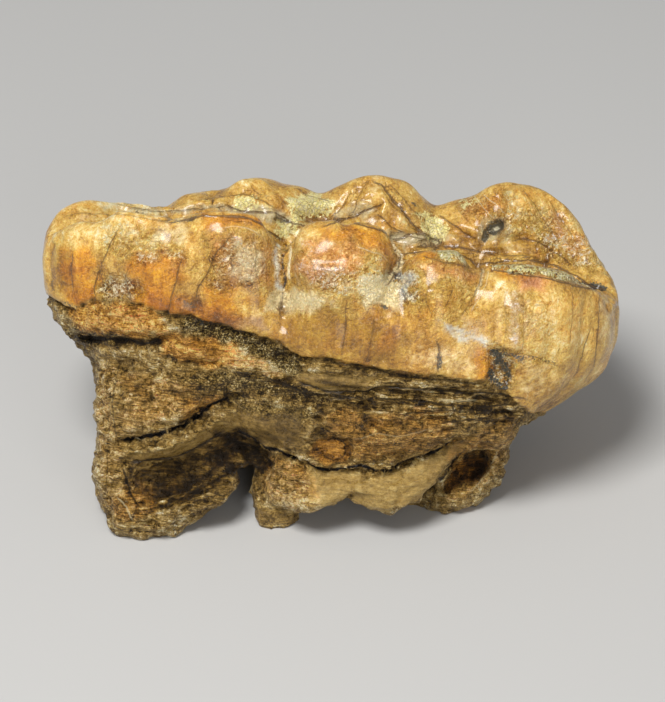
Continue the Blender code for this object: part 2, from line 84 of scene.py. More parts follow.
class Face(Enum):
    """A side of the tooth that carving is drawn on: the way one looks at it, and its drawing axes."""

    LINGUAL = (
        (0, math.cos(OBLIQUE), -math.sin(OBLIQUE)),
        (1, 0, 0),
        (0, math.sin(OBLIQUE), math.cos(OBLIQUE)),
    )
    LABIAL = ((0, -1, 0), (1, 0, 0), (0, 0, 1))
    TOP = ((0, 0, -1), (1, 0, 0), (0, 1, 0))
    DISTAL = ((1, 0, 0), (0, 1, 0), (0, 0, 1))
    MESIAL = ((-1, 0, 0), (0, 1, 0), (0, 0, 1))

    @property
    def look(self) -> np.ndarray:
        """The direction one looks in."""
        return np.array(self.value[0], float)

    @property
    def across(self) -> np.ndarray:
        """The drawing's first axis."""
        return np.array(self.value[1], float)

    @property
    def up(self) -> np.ndarray:
        """The drawing's second axis."""
        return np.array(self.value[2], float)


class Layer(Enum):
    """A mask over the surface: a mineral stain, a kind of surface, the dirt in its cracks, or painted shade
    and highlight.
    """

    ENAMEL = "enamel"
    TONE = "tone"
    AMBER = "amber"
    ROSE = "rose"
    CREAM = "cream"
    MAUVE = "mauve"
    HONEY = "honey"
    GRAIN = "grain"
    FROST = "frost"
    OLIVE = "olive"
    VEIN = "vein"
    YELLOW = "yellow"
    RUST = "rust"
    SOOT = "soot"
    SMOOTH = "smooth"
    FIBRE = "fibre"
    CRACK = "crack"
    # painted shade in hollows, and a painted highlight on what stands proud
    HOLLOW = "hollow"
    EDGE = "edge"
    LINE = "line"
    INK = "ink"


def track(line: Line) -> np.ndarray:
    """Reads a line's points: one row each."""
    return np.array([pair.split() for pair in line.split(",")], float)


def strokes(sheet: Sheet, kind: type[Enum] | None = None) -> list[tuple]:
    """Reads a sheet's strokes.

    Args:
        sheet: Its rows; one that starts with # is a remark.
        kind: What the first word of each row names: a face or a mask.

    Returns:
        For each stroke, what it names if it does, its line, and its numbers.
    """
    found = []
    for row in sheet.replace(",\n", ",").splitlines():
        if ":" not in row:
            continue
        head, line = row.split(":")
        words = head.split()
        named = [kind[words.pop(0).upper()]] if kind else []
        found.append((*named, line, *map(float, words)))
    return found


def ramp(value: np.ndarray, low: float, high: float) -> np.ndarray:
    """A smooth step: 0 below low, 1 above high, and smooth between them."""
    t = np.clip((value - low) / (high - low), 0, 1)
    return t * t * (3 - 2 * t)


class Clay:
    """A fine mesh under the knife, whose points are moved along its normals and painted with masks."""

    fold = 0.15  # a face that agrees less than this with a corner's normal has folded
    ray_height = 60.0  # how far from the tooth's middle a line is dropped from, in millimetres
    unmarked = 9.0  # the line mask's value far from every line
    waver = 0.35  # how far a brushed line wanders, in its own half widths
    lip = (-0.12, 0.22)  # how far across a ledge's line its lip rises, in millimetres
    lip_share = 0.35  # how much of the drop is below the old surface
    drawn_reach = 0.4  # how far from a drawn line its masks are kept, in millimetres
    halo = 0.24  # how wide the soft shadow of a drawn line is, in millimetres
    halo_tone = 0.16  # how dark that shadow is
    thickness = (4.0, 6.0)  # what lies this far behind a patch's front isn't on the same side

    def __init__(self, data: bpy.types.Mesh) -> None:
        """Takes the mesh's points and ray tree, and starts every mask at 0.

        Args:
            data: The mesh, in the tooth's frame, in millimetres.
        """
        self.data = data
        self.points = np.empty((len(data.vertices), 3))
        data.vertices.foreach_get("co", self.points.ravel())
        self.masks = {layer: np.zeros(len(self.points)) for layer in Layer}
        self.masks[Layer.LINE] += self.unmarked
        self.line_gap = np.full(len(self.points), np.inf)
        edges = np.empty(2 * len(data.edges), np.int64)
        data.edges.foreach_get("vertices", edges)
        self.edges = edges.reshape(-1, 2)
        self.degree = np.bincount(self.edges.ravel(), minlength=len(self.points))[:, None]
        self.refresh()

    def refresh(self) -> None:
        """Takes the normals and the ray tree again from the points as they now are."""
        self.data.vertices.foreach_set("co", self.points.ravel())
        self.data.update()
        self.normals = np.empty((len(self.points), 3))
        self.data.vertex_normals.foreach_get("vector", self.normals.ravel())
        corners = [polygon.vertices for polygon in self.data.polygons]
        self.tree = BVHTree.FromPolygons([Vector(p) for p in self.points], corners)

    def relaxed(self, values: np.ndarray, rounds: int) -> np.ndarray:
        """Values averaged with their neighbours'.

        Args:
            values: One row for each point.
            rounds: How many times they are averaged.

        Returns:
            The smoothed rows.
        """
        a, b = self.edges.T
        for _ in range(rounds):
            total = np.empty_like(values)
            for axis in range(values.shape[1]):
                column = values[:, axis]
                total[:, axis] = np.bincount(a, column[b], len(values))
                total[:, axis] += np.bincount(b, column[a], len(values))
            values = 0.5 * values + 0.5 * total / self.degree
        return values

    def landed(self, face: Face, line: Line, step: float) -> tuple[np.ndarray, np.ndarray]:
        """Drops a line drawn on a face on to the surface.

        Args:
            face: The face it is drawn on.
            line: Its points.
            step: How far apart the dropped points are, in millimetres.

        Returns:
            The points on the surface, and how far along the line each one is, from 0 to 1.
        """
        drawn = track(line)
        along = np.concatenate([[0], np.cumsum(np.hypot(*np.diff(drawn, axis=0).T))])
        hits, kept = [], []
        for share in np.linspace(0, 1, max(2, int(along[-1] / step) + 1)):
            a, b = (np.interp(share * along[-1], along, drawn[:, axis]) for axis in (0, 1))
            start = face.across * a + face.up * b - face.look * self.ray_height
            hit = self.tree.ray_cast(Vector(start), Vector(face.look))[0]
            if hit is not None:
                hits.append(hit)
                kept.append(share)
        return np.array(hits), np.array(kept)

    def reach(self, face: Face, line: Line, width: float, fade: float, wander: float = 0.0) -> tuple:
        """How strongly a stroke acts on each point near it.

        Args:
            face: The face it is drawn on.
            line: Its points.
            width: How wide it is, in millimetres: its strength falls off as a bell curve.
            fade: The share of its length over which each end fades out.
            wander: How far noise moves the line sideways, in millimetres.

        Returns:
            The indices of the points near it, their strengths, and on which side of the line each lies.
        """
        hits, _ = self.landed(face, line, min(0.5, max(width, 0.2)))
        if not len(hits):
            return np.zeros(0, int), np.zeros(0), np.zeros(0)
        margin = 3 * width + wander
        near = ((self.points > hits.min(0) - margin) & (self.points < hits.max(0) + margin)).all(1)
        index = np.flatnonzero(near)
        points = self.points[index]
        if wander:
            shift = np.array([noise.noise_vector(Vector(p * 1.1)) for p in points])
            points = points + shift * wander
        if len(hits) > 1:
            starts, sides = hits[:-1], np.diff(hits, axis=0)
        else:
            starts, sides = hits, np.zeros((1, 3)) + 1e-9
        best = np.full(len(points), np.inf)
        place = np.zeros(len(points))
        across = np.zeros(len(points))
        lengths = (sides**2).sum(1) + 1e-12
        for k in range(len(starts)):
            gap = points - starts[k]
            t = np.clip(gap @ sides[k] / lengths[k], 0, 1)
            gap = gap - t[:, None] * sides[k]
            distance = np.sqrt((gap**2).sum(1))
            closer = distance < best
            best[closer] = distance[closer]
            place[closer] = (k + t[closer]) / len(starts)
            turned = np.cross(gap[closer], sides[k]) @ face.look
            across[closer] = np.sign(turned)
        strength = np.exp(-((best / width) ** 2))
        if len(hits) > 1 and fade > 0:
            strength *= ramp(np.minimum(place, 1 - place), -0.02, fade)
        strength *= ramp(-(self.normals[index] @ face.look), -0.5, 0.05)
        return index, strength, across * best

    def push(self, index: np.ndarray, amount: np.ndarray) -> None:
        """Moves the indexed points out along their normals, by an amount in millimetres."""
        self.points[index] += self.normals[index] * amount[:, None]

    def cut(
        self, face: Face, line: Line, width: float, depth: float, fade: float = 0.15, wander: float = 0.0
    ) -> None:
        """Cuts a groove of half a width along a line, or raises a ridge with a depth below 0; see reach."""
        index, strength, _ = self.reach(face, line, width, fade, wander)
        self.push(index, -depth * strength)

    def cut_all(self, sheet: Sheet, wander: float = 0.0, raised: bool = False) -> None:
        """Cuts each line of a sheet, by half its width and its depth, into the lingual side, or raises it."""
        for line, width, depth in strokes(sheet):
            self.cut(Face.LINGUAL, line, width, -depth if raised else depth, wander=wander)

    def step(self, face: Face, line: Line, drop: float, run: float, wander: float = 0.0) -> None:
        """Makes a ledge along a line: the side to the left of its course is raised, with a sharp lip.

        Args:
            face: The face it is drawn on.
            line: Its points.
            drop: The lip's height, in millimetres.
            run: How far behind the lip the raised side fades out, in millimetres.
            wander: How far noise moves the line sideways, in millimetres.
        """
        index, strength, across = self.reach(face, line, run, 0.12, wander)
        lip = ramp(across, *self.lip)
        self.push(index, drop * strength * (lip - self.lip_share * (1 - lip)))

    def inside(self, face: Face, outline: Line, soft: float, wander: float = 0.0) -> np.ndarray:
        """How far each point lies inside an outline drawn on a face.

        Args:
            face: The face it is drawn on; only what faces it counts.
            outline: The outline's corners.
            soft: Half the width of its soft edge, in millimetres.
            wander: How far noise moves the edge, in millimetres.

        Returns:
            1 inside, 0 outside, and between them over the soft edge.
        """
        flat = np.stack([self.points @ face.across, self.points @ face.up], 1)
        corners = track(outline)
        margin = soft + wander
        near = ((flat > corners.min(0) - margin) & (flat < corners.max(0) + margin)).all(1)
        near &= self.normals @ face.look < 0.2
        index = np.flatnonzero(near)
        flat = flat[index]
        if wander:
            shift = np.array([noise.noise_vector(Vector(p * 0.9)) for p in self.points[index]])
            flat = flat + shift[:, :2] * wander
        within = np.zeros(len(flat), bool)
        nearest = np.full(len(flat), np.inf)
        for a, b in zip(corners, np.roll(corners, -1, axis=0)):
            side = b - a
            t = np.clip(((flat - a) @ side) / (side @ side), 0, 1)
            nearest = np.minimum(nearest, np.hypot(*(flat - a - t[:, None] * side).T))
            if a[1] != b[1]:
                crossing = (flat[:, 1] > min(a[1], b[1])) & (flat[:, 1] <= max(a[1], b[1]))
                at = a[0] + (flat[:, 1] - a[1]) * (b[0] - a[0]) / (b[1] - a[1])
                within ^= crossing & (flat[:, 0] < at)
        share = ramp(np.where(within, nearest, -nearest), -soft, soft)
        depth = self.points[index] @ face.look
        if (share > 0.5).any():
            front = np.percentile(depth[share > 0.5], 30)
            near_side, far_side = self.thickness
            share *= 1 - ramp(depth, front + near_side, front + far_side)
        share *= ramp(-(self.normals[index] @ face.look), -0.1, 0.25)
        weights = np.zeros(len(self.points))
        weights[index] = share
        return weights

    def sink_all(self, sheet: Sheet) -> None:
        """Sinks, or with a depth below 0 raises, what the outlines on the lingual side hold.

        Args:
            sheet: Its rows give the depth, the soft edge and the wander.
        """
        for outline, depth, soft, wander in strokes(sheet):
            weights = self.inside(Face.LINGUAL, outline, soft, wander)
            self.points -= self.normals * (depth * weights)[:, None]

    def brush(self, layer: Layer, face: Face, line: Line, width: float, strength: float = 1.0) -> None:
        """Paints a mask along a line.

        Args:
            layer: The mask.
            face: The face the line is drawn on.
            line: Its points.
            width: Half its width, in millimetres.
            strength: The mask's value along its middle.
        """
        fade = 0.0 if len(track(line)) < 3 else 0.08
        index, near, _ = self.reach(face, line, width, fade, self.waver * width)
        self.masks[layer][index] = np.maximum(self.masks[layer][index], strength * near)

    def fill(self, layer: Layer, face: Face, outline: Line, soft: float, strength: float = 1.0) -> None:
        """Paints a mask inside an outline; see inside for the arguments."""
        weights = self.inside(face, outline, soft, soft)
        self.masks[layer] = np.maximum(self.masks[layer], strength * weights)

    def shade(self, face: Face, shape: Line, soft: float, amount: float, closed: bool = True) -> None:
        """Lightens or darkens what an outline holds, or what lies along a line.

        Args:
            face: The face it is drawn on.
            shape: The outline's corners, or the line's points.
            soft: Half the width of the outline's soft edge, or half the line's width, in millimetres.
            amount: How much lighter it becomes; darker is below 0.
            closed: Whether the shape is an outline.
        """
        tone = self.masks[Layer.TONE]
        if closed:
            tone += amount * self.inside(face, shape, soft, soft)
        else:
            index, near, _ = self.reach(face, shape, soft, 0.1, self.waver * soft)
            tone[index] += amount * near

    def draw(self, face: Face, line: Line, width: float, ink: float, wander: float = 0.12) -> None:
        """Draws a line so fine that the finishes show it thinner than the mesh's own edges.

        Two masks hold it: the distance from it, in its own half widths, and how dark it is.

        Args:
            face: The face it is drawn on.
            line: Its points.
            width: Half its width, in millimetres.
            ink: How dark it is; paler than its ground is below 0.
            wander: How far noise moves it sideways, in millimetres.
        """
        reach = self.drawn_reach
        index, near, across = self.reach(face, line, reach, 0.06, wander)
        gap = np.abs(across)
        closer = gap < np.minimum(self.line_gap[index], 2 * reach)
        index, near, across, gap = index[closer], near[closer], across[closer], gap[closer]
        near = near * np.exp((across / reach) ** 2) * (1 - ramp(gap, 0.65 * reach, 1.1 * reach))
        self.line_gap[index] = gap
        self.masks[Layer.LINE][index] = across / width
        self.masks[Layer.INK][index] = ink * near
        shadow = self.halo_tone * max(ink, 0) * near * np.exp(-((gap / self.halo) ** 2))
        self.masks[Layer.TONE][index] -= shadow

    def unseen(self, face: Face) -> np.ndarray:
        """Finds the points that are hidden from whoever looks at a face.

        Args:
            face: The face.

        Returns:
            1 for each hidden point, with a soft edge.
        """
        back = Vector(-face.look)
        starts = self.points + 0.05 * self.normals
        hidden = [self.tree.ray_cast(Vector(start), back)[0] is not None for start in starts]
        return self.relaxed(np.array(hidden, float)[:, None], 6)[:, 0]

    def grained(self, size: tuple[float, float, float], seed: float, ridged: bool = False) -> np.ndarray:
        """Noise over the surface.

        Args:
            size: The size of its lumps along X, Y and Z, in millimetres.
            seed: Where in the noise the tooth lies.
            ridged: Whether it has sharp ridges rather than round lumps.

        Returns:
            A value from about -1 to 1 for each point.
        """
        at = self.points / np.array(size) + seed
        if ridged:
            return np.array([1 - 2.4 * abs(noise.noise(Vector(p))) for p in at])
        return np.array([noise.noise(Vector(p)) for p in at]) * 1.8

    def mend(self, rounds: int) -> None:
        """Smooths the few points where the surface has folded over itself.

        Args:
            rounds: How many times it looks for folds.
        """
        corners = np.empty(len(self.data.loops), np.int64)
        self.data.loops.foreach_get("vertex_index", corners)
        totals = np.empty(len(self.data.polygons), np.int64)
        self.data.polygons.foreach_get("loop_total", totals)
        faces = np.repeat(np.arange(len(totals)), totals)
        flat = np.empty((len(totals), 3))
        for _ in range(rounds):
            self.refresh()
            self.data.polygons.foreach_get("normal", flat.ravel())
            folded = np.zeros((len(self.points), 1))
            folded[corners[(flat[faces] * self.normals[corners]).sum(1) < self.fold]] = 1.0
            near = self.relaxed(folded, 1)[:, 0] > 0
            self.points[near] = self.relaxed(self.points, 3)[near]
        self.refresh()

    def store(self) -> None:
        """Writes the points and every mask into the mesh."""
        self.data.vertices.foreach_set("co", self.points.ravel())
        for layer, values in self.masks.items():
            attribute = self.data.attributes.new(layer.value, "FLOAT", "POINT")
            attribute.data.foreach_set("value", values.astype(np.float32))
        self.data.update()


class Wire:
    """A socket of a node tree, on which arithmetic adds Math nodes."""

    def __init__(self, graph: "Graph", socket: bpy.types.NodeSocket) -> None:
        """Wraps an output socket of the graph's tree."""
        self.graph = graph
        self.socket = socket

    def maths(self, operation: str, *values: "Wire | float", clamp: bool = False) -> "Wire":
        """Adds a Math node with the operation and the input values given."""
        settings = {"operation": operation, "use_clamp": clamp}
        return self.graph.node("ShaderNodeMath", settings, {i: v for i, v in enumerate(values)})

    def __add__(self, other: "Wire | float") -> "Wire":
        """self + other."""
        return self.maths("ADD", self, other)

    def __radd__(self, other: float) -> "Wire":
        """other + self."""
        return self.maths("ADD", other, self)

    def __sub__(self, other: "Wire | float") -> "Wire":
        """self - other."""
        return self.maths("SUBTRACT", self, other)

    def __rsub__(self, other: float) -> "Wire":
        """other - self."""
        return self.maths("SUBTRACT", other, self)

    def __mul__(self, other: "Wire | float") -> "Wire":
        """self * other."""
        return self.maths("MULTIPLY", self, other)

    def __rmul__(self, other: float) -> "Wire":
        """other * self."""
        return self.maths("MULTIPLY", other, self)

    def swing(self, amount: "Wire | float") -> "Wire":
        """How far the value is from 0.5, times an amount."""
        return (self - 0.5) * amount

    def clamped(self) -> "Wire":
        """The value kept from 0 to 1."""
        return self.maths("ADD", self, 0.0, clamp=True)

    def ridge(self, width: float) -> "Wire":
        """A thin line where the value passes 0.5: 1 on it, and 0 at that width from it."""
        return 1.0 - self.maths("ABSOLUTE", self - 0.5).stepped(0.0, width)

    def stepped(self, low: float, high: float) -> "Wire":
        """A smooth step from 0 at low to 1 at high."""
        values = {"Value": self, "From Min": low, "From Max": high}
        return self.graph.node("ShaderNodeMapRange", {"interpolation_type": "SMOOTHSTEP"}, values)


class Graph:
    """A material's node tree, built from Python expressions."""

    def __init__(self, name: str) -> None:
        """Starts an empty material.

        Args:
            name: The material's name.
        """
        self.material = bpy.data.materials.new(name)
        self.material.use_nodes = True
        self.tree = self.material.node_tree
        self.tree.nodes.clear()

    def node(self, kind: str, settings: dict, inputs: dict, output: str | int = 0) -> Wire:
        """Adds any node.

        Args:
            kind: The node's type.
            settings: Its properties, set before its sockets.
            inputs: A value or a Wire for each socket, by name or number.
            output: Which output is wanted.

        Returns:
            That output.
        """
        made = self.tree.nodes.new(kind)
        for name, value in settings.items():
            setattr(made, name, value)
        for name, value in inputs.items():
            if isinstance(value, Wire):
                self.tree.links.new(value.socket, made.inputs[name])
            else:
                made.inputs[name].default_value = value
        return Wire(self, made.outputs[output])

    def mask(self, layer: Layer) -> Wire:
        """The value that the clay's mask has at each point."""
        return self.node("ShaderNodeAttribute", {"attribute_name": layer.value}, {}, "Fac")

    def inked(self, wobble: Wire) -> tuple[Wire, Wire]:
        """The finely drawn lines.

        Args:
            wobble: How far each point is moved across them, in their half widths.

        Returns:
            How much they darken the surface, and how much they make it paler.
        """
        at = self.mask(Layer.LINE) + wobble
        core = 1.0 - at.maths("ABSOLUTE", at).stepped(0.45, 1.35)
        ink = self.mask(Layer.INK)
        return core * ink.clamped(), core * (0.0 - ink).clamped()

    def place(self, turn: float = 0.0, stretch: tuple[float, float, float] = (1, 1, 1)) -> Wire:
        """The surface point in the tooth's frame, in millimetres.

        Args:
            turn: A turn about the scene's Y axis, in radians.
            stretch: A factor for each axis.

        Returns:
            The point, as a vector.
        """
        where = self.node("ShaderNodeTexCoord", {}, {}, "Object")
        scale = tuple(s / MILLIMETRE for s in stretch)
        settings = {"vector_type": "TEXTURE"}
        rotated = self.node("ShaderNodeMapping", settings, {"Vector": where, "Rotation": (-LEAN, turn, 0)})
        return self.node("ShaderNodeVectorMath", {"operation": "MULTIPLY"}, {0: rotated, 1: scale})

    def noise(self, place: Wire, size: float, detail: float, rough: float, twist: float = 0.0) -> Wire:
        """Fractal noise about 0.5 at a place, whose lumps have a size in millimetres."""
        values = {"Vector": place, "Scale": 1 / size, "Detail": detail, "Roughness": rough}
        return self.node("ShaderNodeTexNoise", {}, {**values, "Distortion": twist}, 0)

    def warped(self, place: Wire, size: float, reach: float) -> Wire:
        """A place moved about by noise.

        Args:
            place: The place, in millimetres.
            size: The size of the noise's lumps, in millimetres.
            reach: How far it moves, in millimetres.

        Returns:
            The moved place.
        """
        values = {"Vector": place, "Scale": 1 / size, "Detail": 3.0}
        drift = self.node("ShaderNodeTexNoise", {}, values, "Color")
        values = {0: drift, 1: (2 * reach,) * 3, 2: place}
        return self.node("ShaderNodeVectorMath", {"operation": "MULTIPLY_ADD"}, values)

    def flakes(self, place: Wire, size: float) -> Wire:
        """Irregular cells, each with its own value from 0 to 1.

        Args:
            place: Where they are read, in millimetres.
            size: How far apart their middles are, in millimetres.

        Returns:
            The cell's value.
        """
        values = {"Vector": place, "Scale": 1 / size}
        cell = self.node("ShaderNodeTexVoronoi", {"feature": "F1"}, values, "Color")
        return cell * 1.0  # the Math node turns the cell's colour into one value

    def gaps(self, place: Wire, size: float) -> Wire:
        """The distance to the edge between such cells; see flakes for the arguments."""
        values = {"Vector": place, "Scale": 1 / size}
        return self.node("ShaderNodeTexVoronoi", {"feature": "DISTANCE_TO_EDGE"}, values, "Distance")

    def mixed(
        self, share: Wire | float, under: Wire | Colour, over: Wire | Colour, blend: str = "MIX"
    ) -> Wire:
        """Mixes two colours.

        Args:
            share: How much of the second one.
            under: The first colour.
            over: The second colour.
            blend: The way they are mixed.

        Returns:
            The mixed colour.
        """
        settings = {"data_type": "RGBA", "blend_type": blend}
        colours = [c if isinstance(c, Wire) else (*c, 1.0) for c in (under, over)]
        return self.node("ShaderNodeMix", settings, {0: share, 6: colours[0], 7: colours[1]}, 2)

    def toned(self, tone: Wire, stops: tuple) -> Wire:
        """Turns a value into a colour.

        Args:
            tone: The value.
            stops: Each value, from 0 to 1, with its colour.

        Returns:
            The colour.
        """
        made = self.node("ShaderNodeValToRGB", {}, {"Fac": tone}, "Color")
        band = made.socket.node.color_ramp
        while len(band.elements) < len(stops):
            band.elements.new(1.0)
        for element, (at, colour) in zip(band.elements, stops):
            element.position = at
            element.color = (*colour, 1.0)
        return made

    def embossed(self, colour: Wire, tilt: Wire, strength: Wire | float) -> Wire:
        """Lights and shades a colour as its relief tilts to the light, times a strength."""
        return self.mixed(0.9, colour, (tilt * strength + 0.5).clamped(), "OVERLAY")

    def surface(self, shader: Wire) -> bpy.types.Material:
        """Links a shader to the material's output.

        Args:
            shader: The shader.

        Returns:
            The material.
        """
        output = self.tree.nodes.new("ShaderNodeOutputMaterial")
        self.tree.links.new(shader.socket, output.inputs["Surface"])
        return self.material


@dataclass(frozen=True)
class Enamel:
    """Polished amber enamel with its mineral stains."""

    ground: tuple = (
        (0.00, (0.070, 0.033, 0.006)),
        (0.16, (0.19, 0.090, 0.015)),
        (0.34, (0.38, 0.192, 0.028)),
        (0.50, (0.56, 0.315, 0.056)),
        (0.66, (0.72, 0.450, 0.100)),
        (0.82, (0.87, 0.64, 0.225)),
        (1.00, (1.00, 0.89, 0.56)),
    )
    blush: Colour = (1.0, 0.84, 0.62)
    amber: Colour = (0.98, 0.69, 0.14)
    rose: Colour = (1.06, 0.82, 0.92)
    mauve: Colour = (0.72, 0.66, 1.15)
    honey: Colour = (0.64, 0.55, 0.20)
    # the tint of the painted shade in hollows
    shade: Colour = (0.60, 0.56, 0.50)
    # a cream stain, and the colour of painted highlights on rims and bulges
    cream: Colour = (0.97, 0.80, 0.43)
    olive: Colour = (0.54, 0.50, 0.32)
    # a pale bluish frost, and the colour of a painted sheen
    frost: Colour = (0.63, 0.71, 0.71)
    yellow: Colour = (1.0, 0.88, 0.34)
    vein: Colour = (0.060, 0.056, 0.038)
    pit: Colour = (0.12, 0.066, 0.024)
    # pale specks, and the colour of painted glints
    speck_and_glint: Colour = (0.93, 0.83, 0.56)
    ink: Colour = (0.15, 0.085, 0.034)
    crack: Colour = (0.035, 0.02, 0.01)
    # the painted light and shade of the fine relief compare its noise with itself this step towards the light
    lean: tuple[float, float, float] = (-0.03, -0.03, 0.07)  # a step towards the light, in millimetres
    # the sizes of the noises' lumps, in millimetres
    cloud_size: float = 2.6
    hue_size: float = 3.4
    mottle_size: float = 1.1
    streak_size: float = 0.5
    fine_size: float = 0.42
    worm_size: float = 0.36
    flake_size: float = 0.24
    grain_size: float = 0.13
    bump: float = 0.15 * MILLIMETRE

    def relief(self, graph: Graph) -> dict[str, Wire]:
        """Builds the noises that colour and relief share.

        Args:
            graph: The material's graph.

        Returns:
            Each noise by its name.
        """
        place = graph.place()
        crumpled = graph.warped(place, 0.45, 0.22)
        wavy = graph.warped(place, 0.7, 0.30)
        shifted = graph.node("ShaderNodeVectorMath", {"operation": "ADD"}, {0: wavy, 1: self.lean})
        wormy = [graph.noise(at, self.worm_size, 3.0, 0.62, 0.5) for at in (wavy, shifted)]
        upright = graph.place(stretch=(1.0, 1.0, 0.16))
        return {
            "wrinkle": wormy[0].ridge(0.09),
            # painted light and shade: how the fine relief rises towards the light, used in the colour only
            "lit": wormy[0] - wormy[1],
            "cloud": graph.noise(place, self.cloud_size, 5.0, 0.62, 0.8),
            "mottle": graph.noise(place, self.mottle_size, 7.0, 0.72, 0.5),
            "fine": graph.noise(place, self.fine_size, 6.0, 0.78, 0.4),
            "grain": graph.noise(place, self.grain_size, 3.0, 0.75),
            "streak": graph.noise(upright, self.streak_size, 6.0, 0.72, 0.2),
            "flake": graph.flakes(crumpled, self.flake_size),
            "gap": graph.gaps(crumpled, self.flake_size),
        }

    def stained(self, graph: Graph, colour: Wire, noises: dict[str, Wire]) -> Wire:
        """Lays the mineral stains, the painted shade of hollows and the painted highlights and sheen over the
        ground: first what tints it, then what covers it.

        Args:
            graph: The material's graph.
            colour: The ground's colour.
            noises: What relief gives.

        Returns:
            The stained colour.
        """
        cloud, mottle, fine = noises["cloud"], noises["mottle"], noises["fine"]
        for layer, tint in (
            (Layer.AMBER, self.amber),
            (Layer.ROSE, self.rose),
            (Layer.MAUVE, self.mauve),
            (Layer.HONEY, self.honey),
            # the hollows darkened as painted shade
            (Layer.HOLLOW, self.shade),
        ):
            mask = graph.mask(layer)
            share = (mask + mottle.swing(0.9) + fine.swing(0.4)).stepped(0.0, 1.0)
            colour = graph.mixed(share * mask.stepped(0.0, 0.25), colour, tint, "MULTIPLY")
        for layer, over, strength in (
            # cream covers both as a stain and as a painted highlight
            (Layer.CREAM, self.cream, 0.92),
            (Layer.OLIVE, self.olive, 0.72),
            (Layer.FROST, self.frost, 0.75),
        ):
            mask = graph.mask(layer)
            share = mask + mottle.swing(1.5) + fine.swing(0.9) + cloud.swing(0.6)
            share = share.stepped(0.25, 1.05) * mask.stepped(0.02, 0.4)
            colour = graph.mixed(share * strength, colour, over)
        return colour

    def colour(self, graph: Graph, noises: dict[str, Wire]) -> Wire:
        """Builds the enamel's colour.

        Args:
            graph: The material's graph.
            noises: What relief gives.

        Returns:
            The colour.
        """
        wrinkle, lit, cloud, mottle, fine, grain, streak, flake, gap = noises.values()
        grainy, crust = graph.mask(Layer.GRAIN), graph.mask(Layer.YELLOW)
        grit = (grainy + mottle.swing(1.9)).stepped(0.30, 0.85) * grainy.stepped(0.0, 0.3)
        wrinkled = grainy.stepped(0.0, 0.9)
        level = 0.53 + graph.mask(Layer.TONE) + cloud.swing(0.85) + mottle.swing(0.75) + streak.swing(0.8)
        level = level + fine.swing(0.45 + grit * 0.5) + grain.swing(0.25 + grit * 0.5)
        level = level + flake.swing(grit * 0.4)
        # the fine relief's painted light and shade lighten and darken the tone
        level = level + (wrinkle - 0.30) * (wrinkled * 0.22 + 0.03) + lit * (wrinkled * 1.5 + 0.6)
        # painted shade darkens the hollows, and a painted highlight lightens what stands proud
        level = level - graph.mask(Layer.HOLLOW) * 0.16 + graph.mask(Layer.EDGE) * 0.10
        colour = graph.toned(level.clamped(), self.ground)
        hue = graph.noise(graph.place(), self.hue_size, 4.0, 0.6, 1.0)
        colour = graph.mixed(hue.stepped(0.48, 0.66) * 0.7, colour, self.blush, "MULTIPLY")
        colour = self.stained(graph, colour, noises)
        # yellow granules, shown partly where painted light falls on the fine relief
        granules = (crust * 0.85 + flake.swing(0.9) + fine.swing(1.3) + lit * 1.8).stepped(0.22, 0.48)
        colour = graph.mixed(granules * crust.stepped(0.1, 0.4) * 0.95, colour, self.yellow)
        # pale flakes with dark gaps between them, where it is gritty, paler too where painted light falls on
        # the fine relief
        rich = (grit + crust * 0.9).clamped()
        pale_flakes = (flake + (grain - 0.5) + lit * 2.0).stepped(0.56, 0.72)
        colour = graph.mixed(rich * pale_flakes * 0.62, colour, self.speck_and_glint)
        granular = crust.stepped(0.2, 0.7)
        clefts = (1.0 - gap.stepped(0.01, 0.08)) * (fine + granular * 0.16).stepped(0.42, 0.62)
        colour = graph.mixed(rich * clefts * (granular * 0.15 + 0.5), colour, self.pit)
        # painted light and shade of the fine relief, laid over the colour
        colour = graph.embossed(colour, lit, wrinkled * 0.7 + 0.6)
        # craze lines and dark loose specks all over, and painted glints, pale specks on the grain's peaks
        colour = graph.mixed(streak.ridge(0.012) * 0.35, colour, self.pit)
        colour = graph.mixed(mottle.ridge(0.006) * fine.stepped(0.45, 0.6) * 0.5, colour, self.pit)
        colour = graph.mixed((1.0 - grain.stepped(0.24, 0.32)) * 0.45, colour, self.pit)
        colour = graph.mixed((grain + fine.swing(0.6)).stepped(0.66, 0.74) * 0.5, colour, self.speck_and_glint)
        # dark veins, soot and cracks, and the fine lines over all
        vein, soot = graph.mask(Layer.VEIN), graph.mask(Layer.SOOT)
        veins = (vein + fine.swing(1.3) + grain.swing(0.6)).stepped(0.42, 0.80)
        colour = graph.mixed(veins * vein.stepped(0.05, 0.3) * 0.9, colour, self.vein)
        sooty = (soot + grain.swing(2.2) + (fine - 0.5)).stepped(0.4, 0.7)
        colour = graph.mixed(sooty * soot.stepped(0.05, 0.3), colour, self.vein)
        colour = graph.mixed(graph.mask(Layer.CRACK).stepped(0.35, 0.8) * 0.9, colour, self.crack)
        dark, pale = graph.inked(fine.swing(1.6))
        colour = graph.mixed(dark * 0.9, colour, self.ink)
        return graph.mixed(pale * 0.9, colour, self.speck_and_glint)

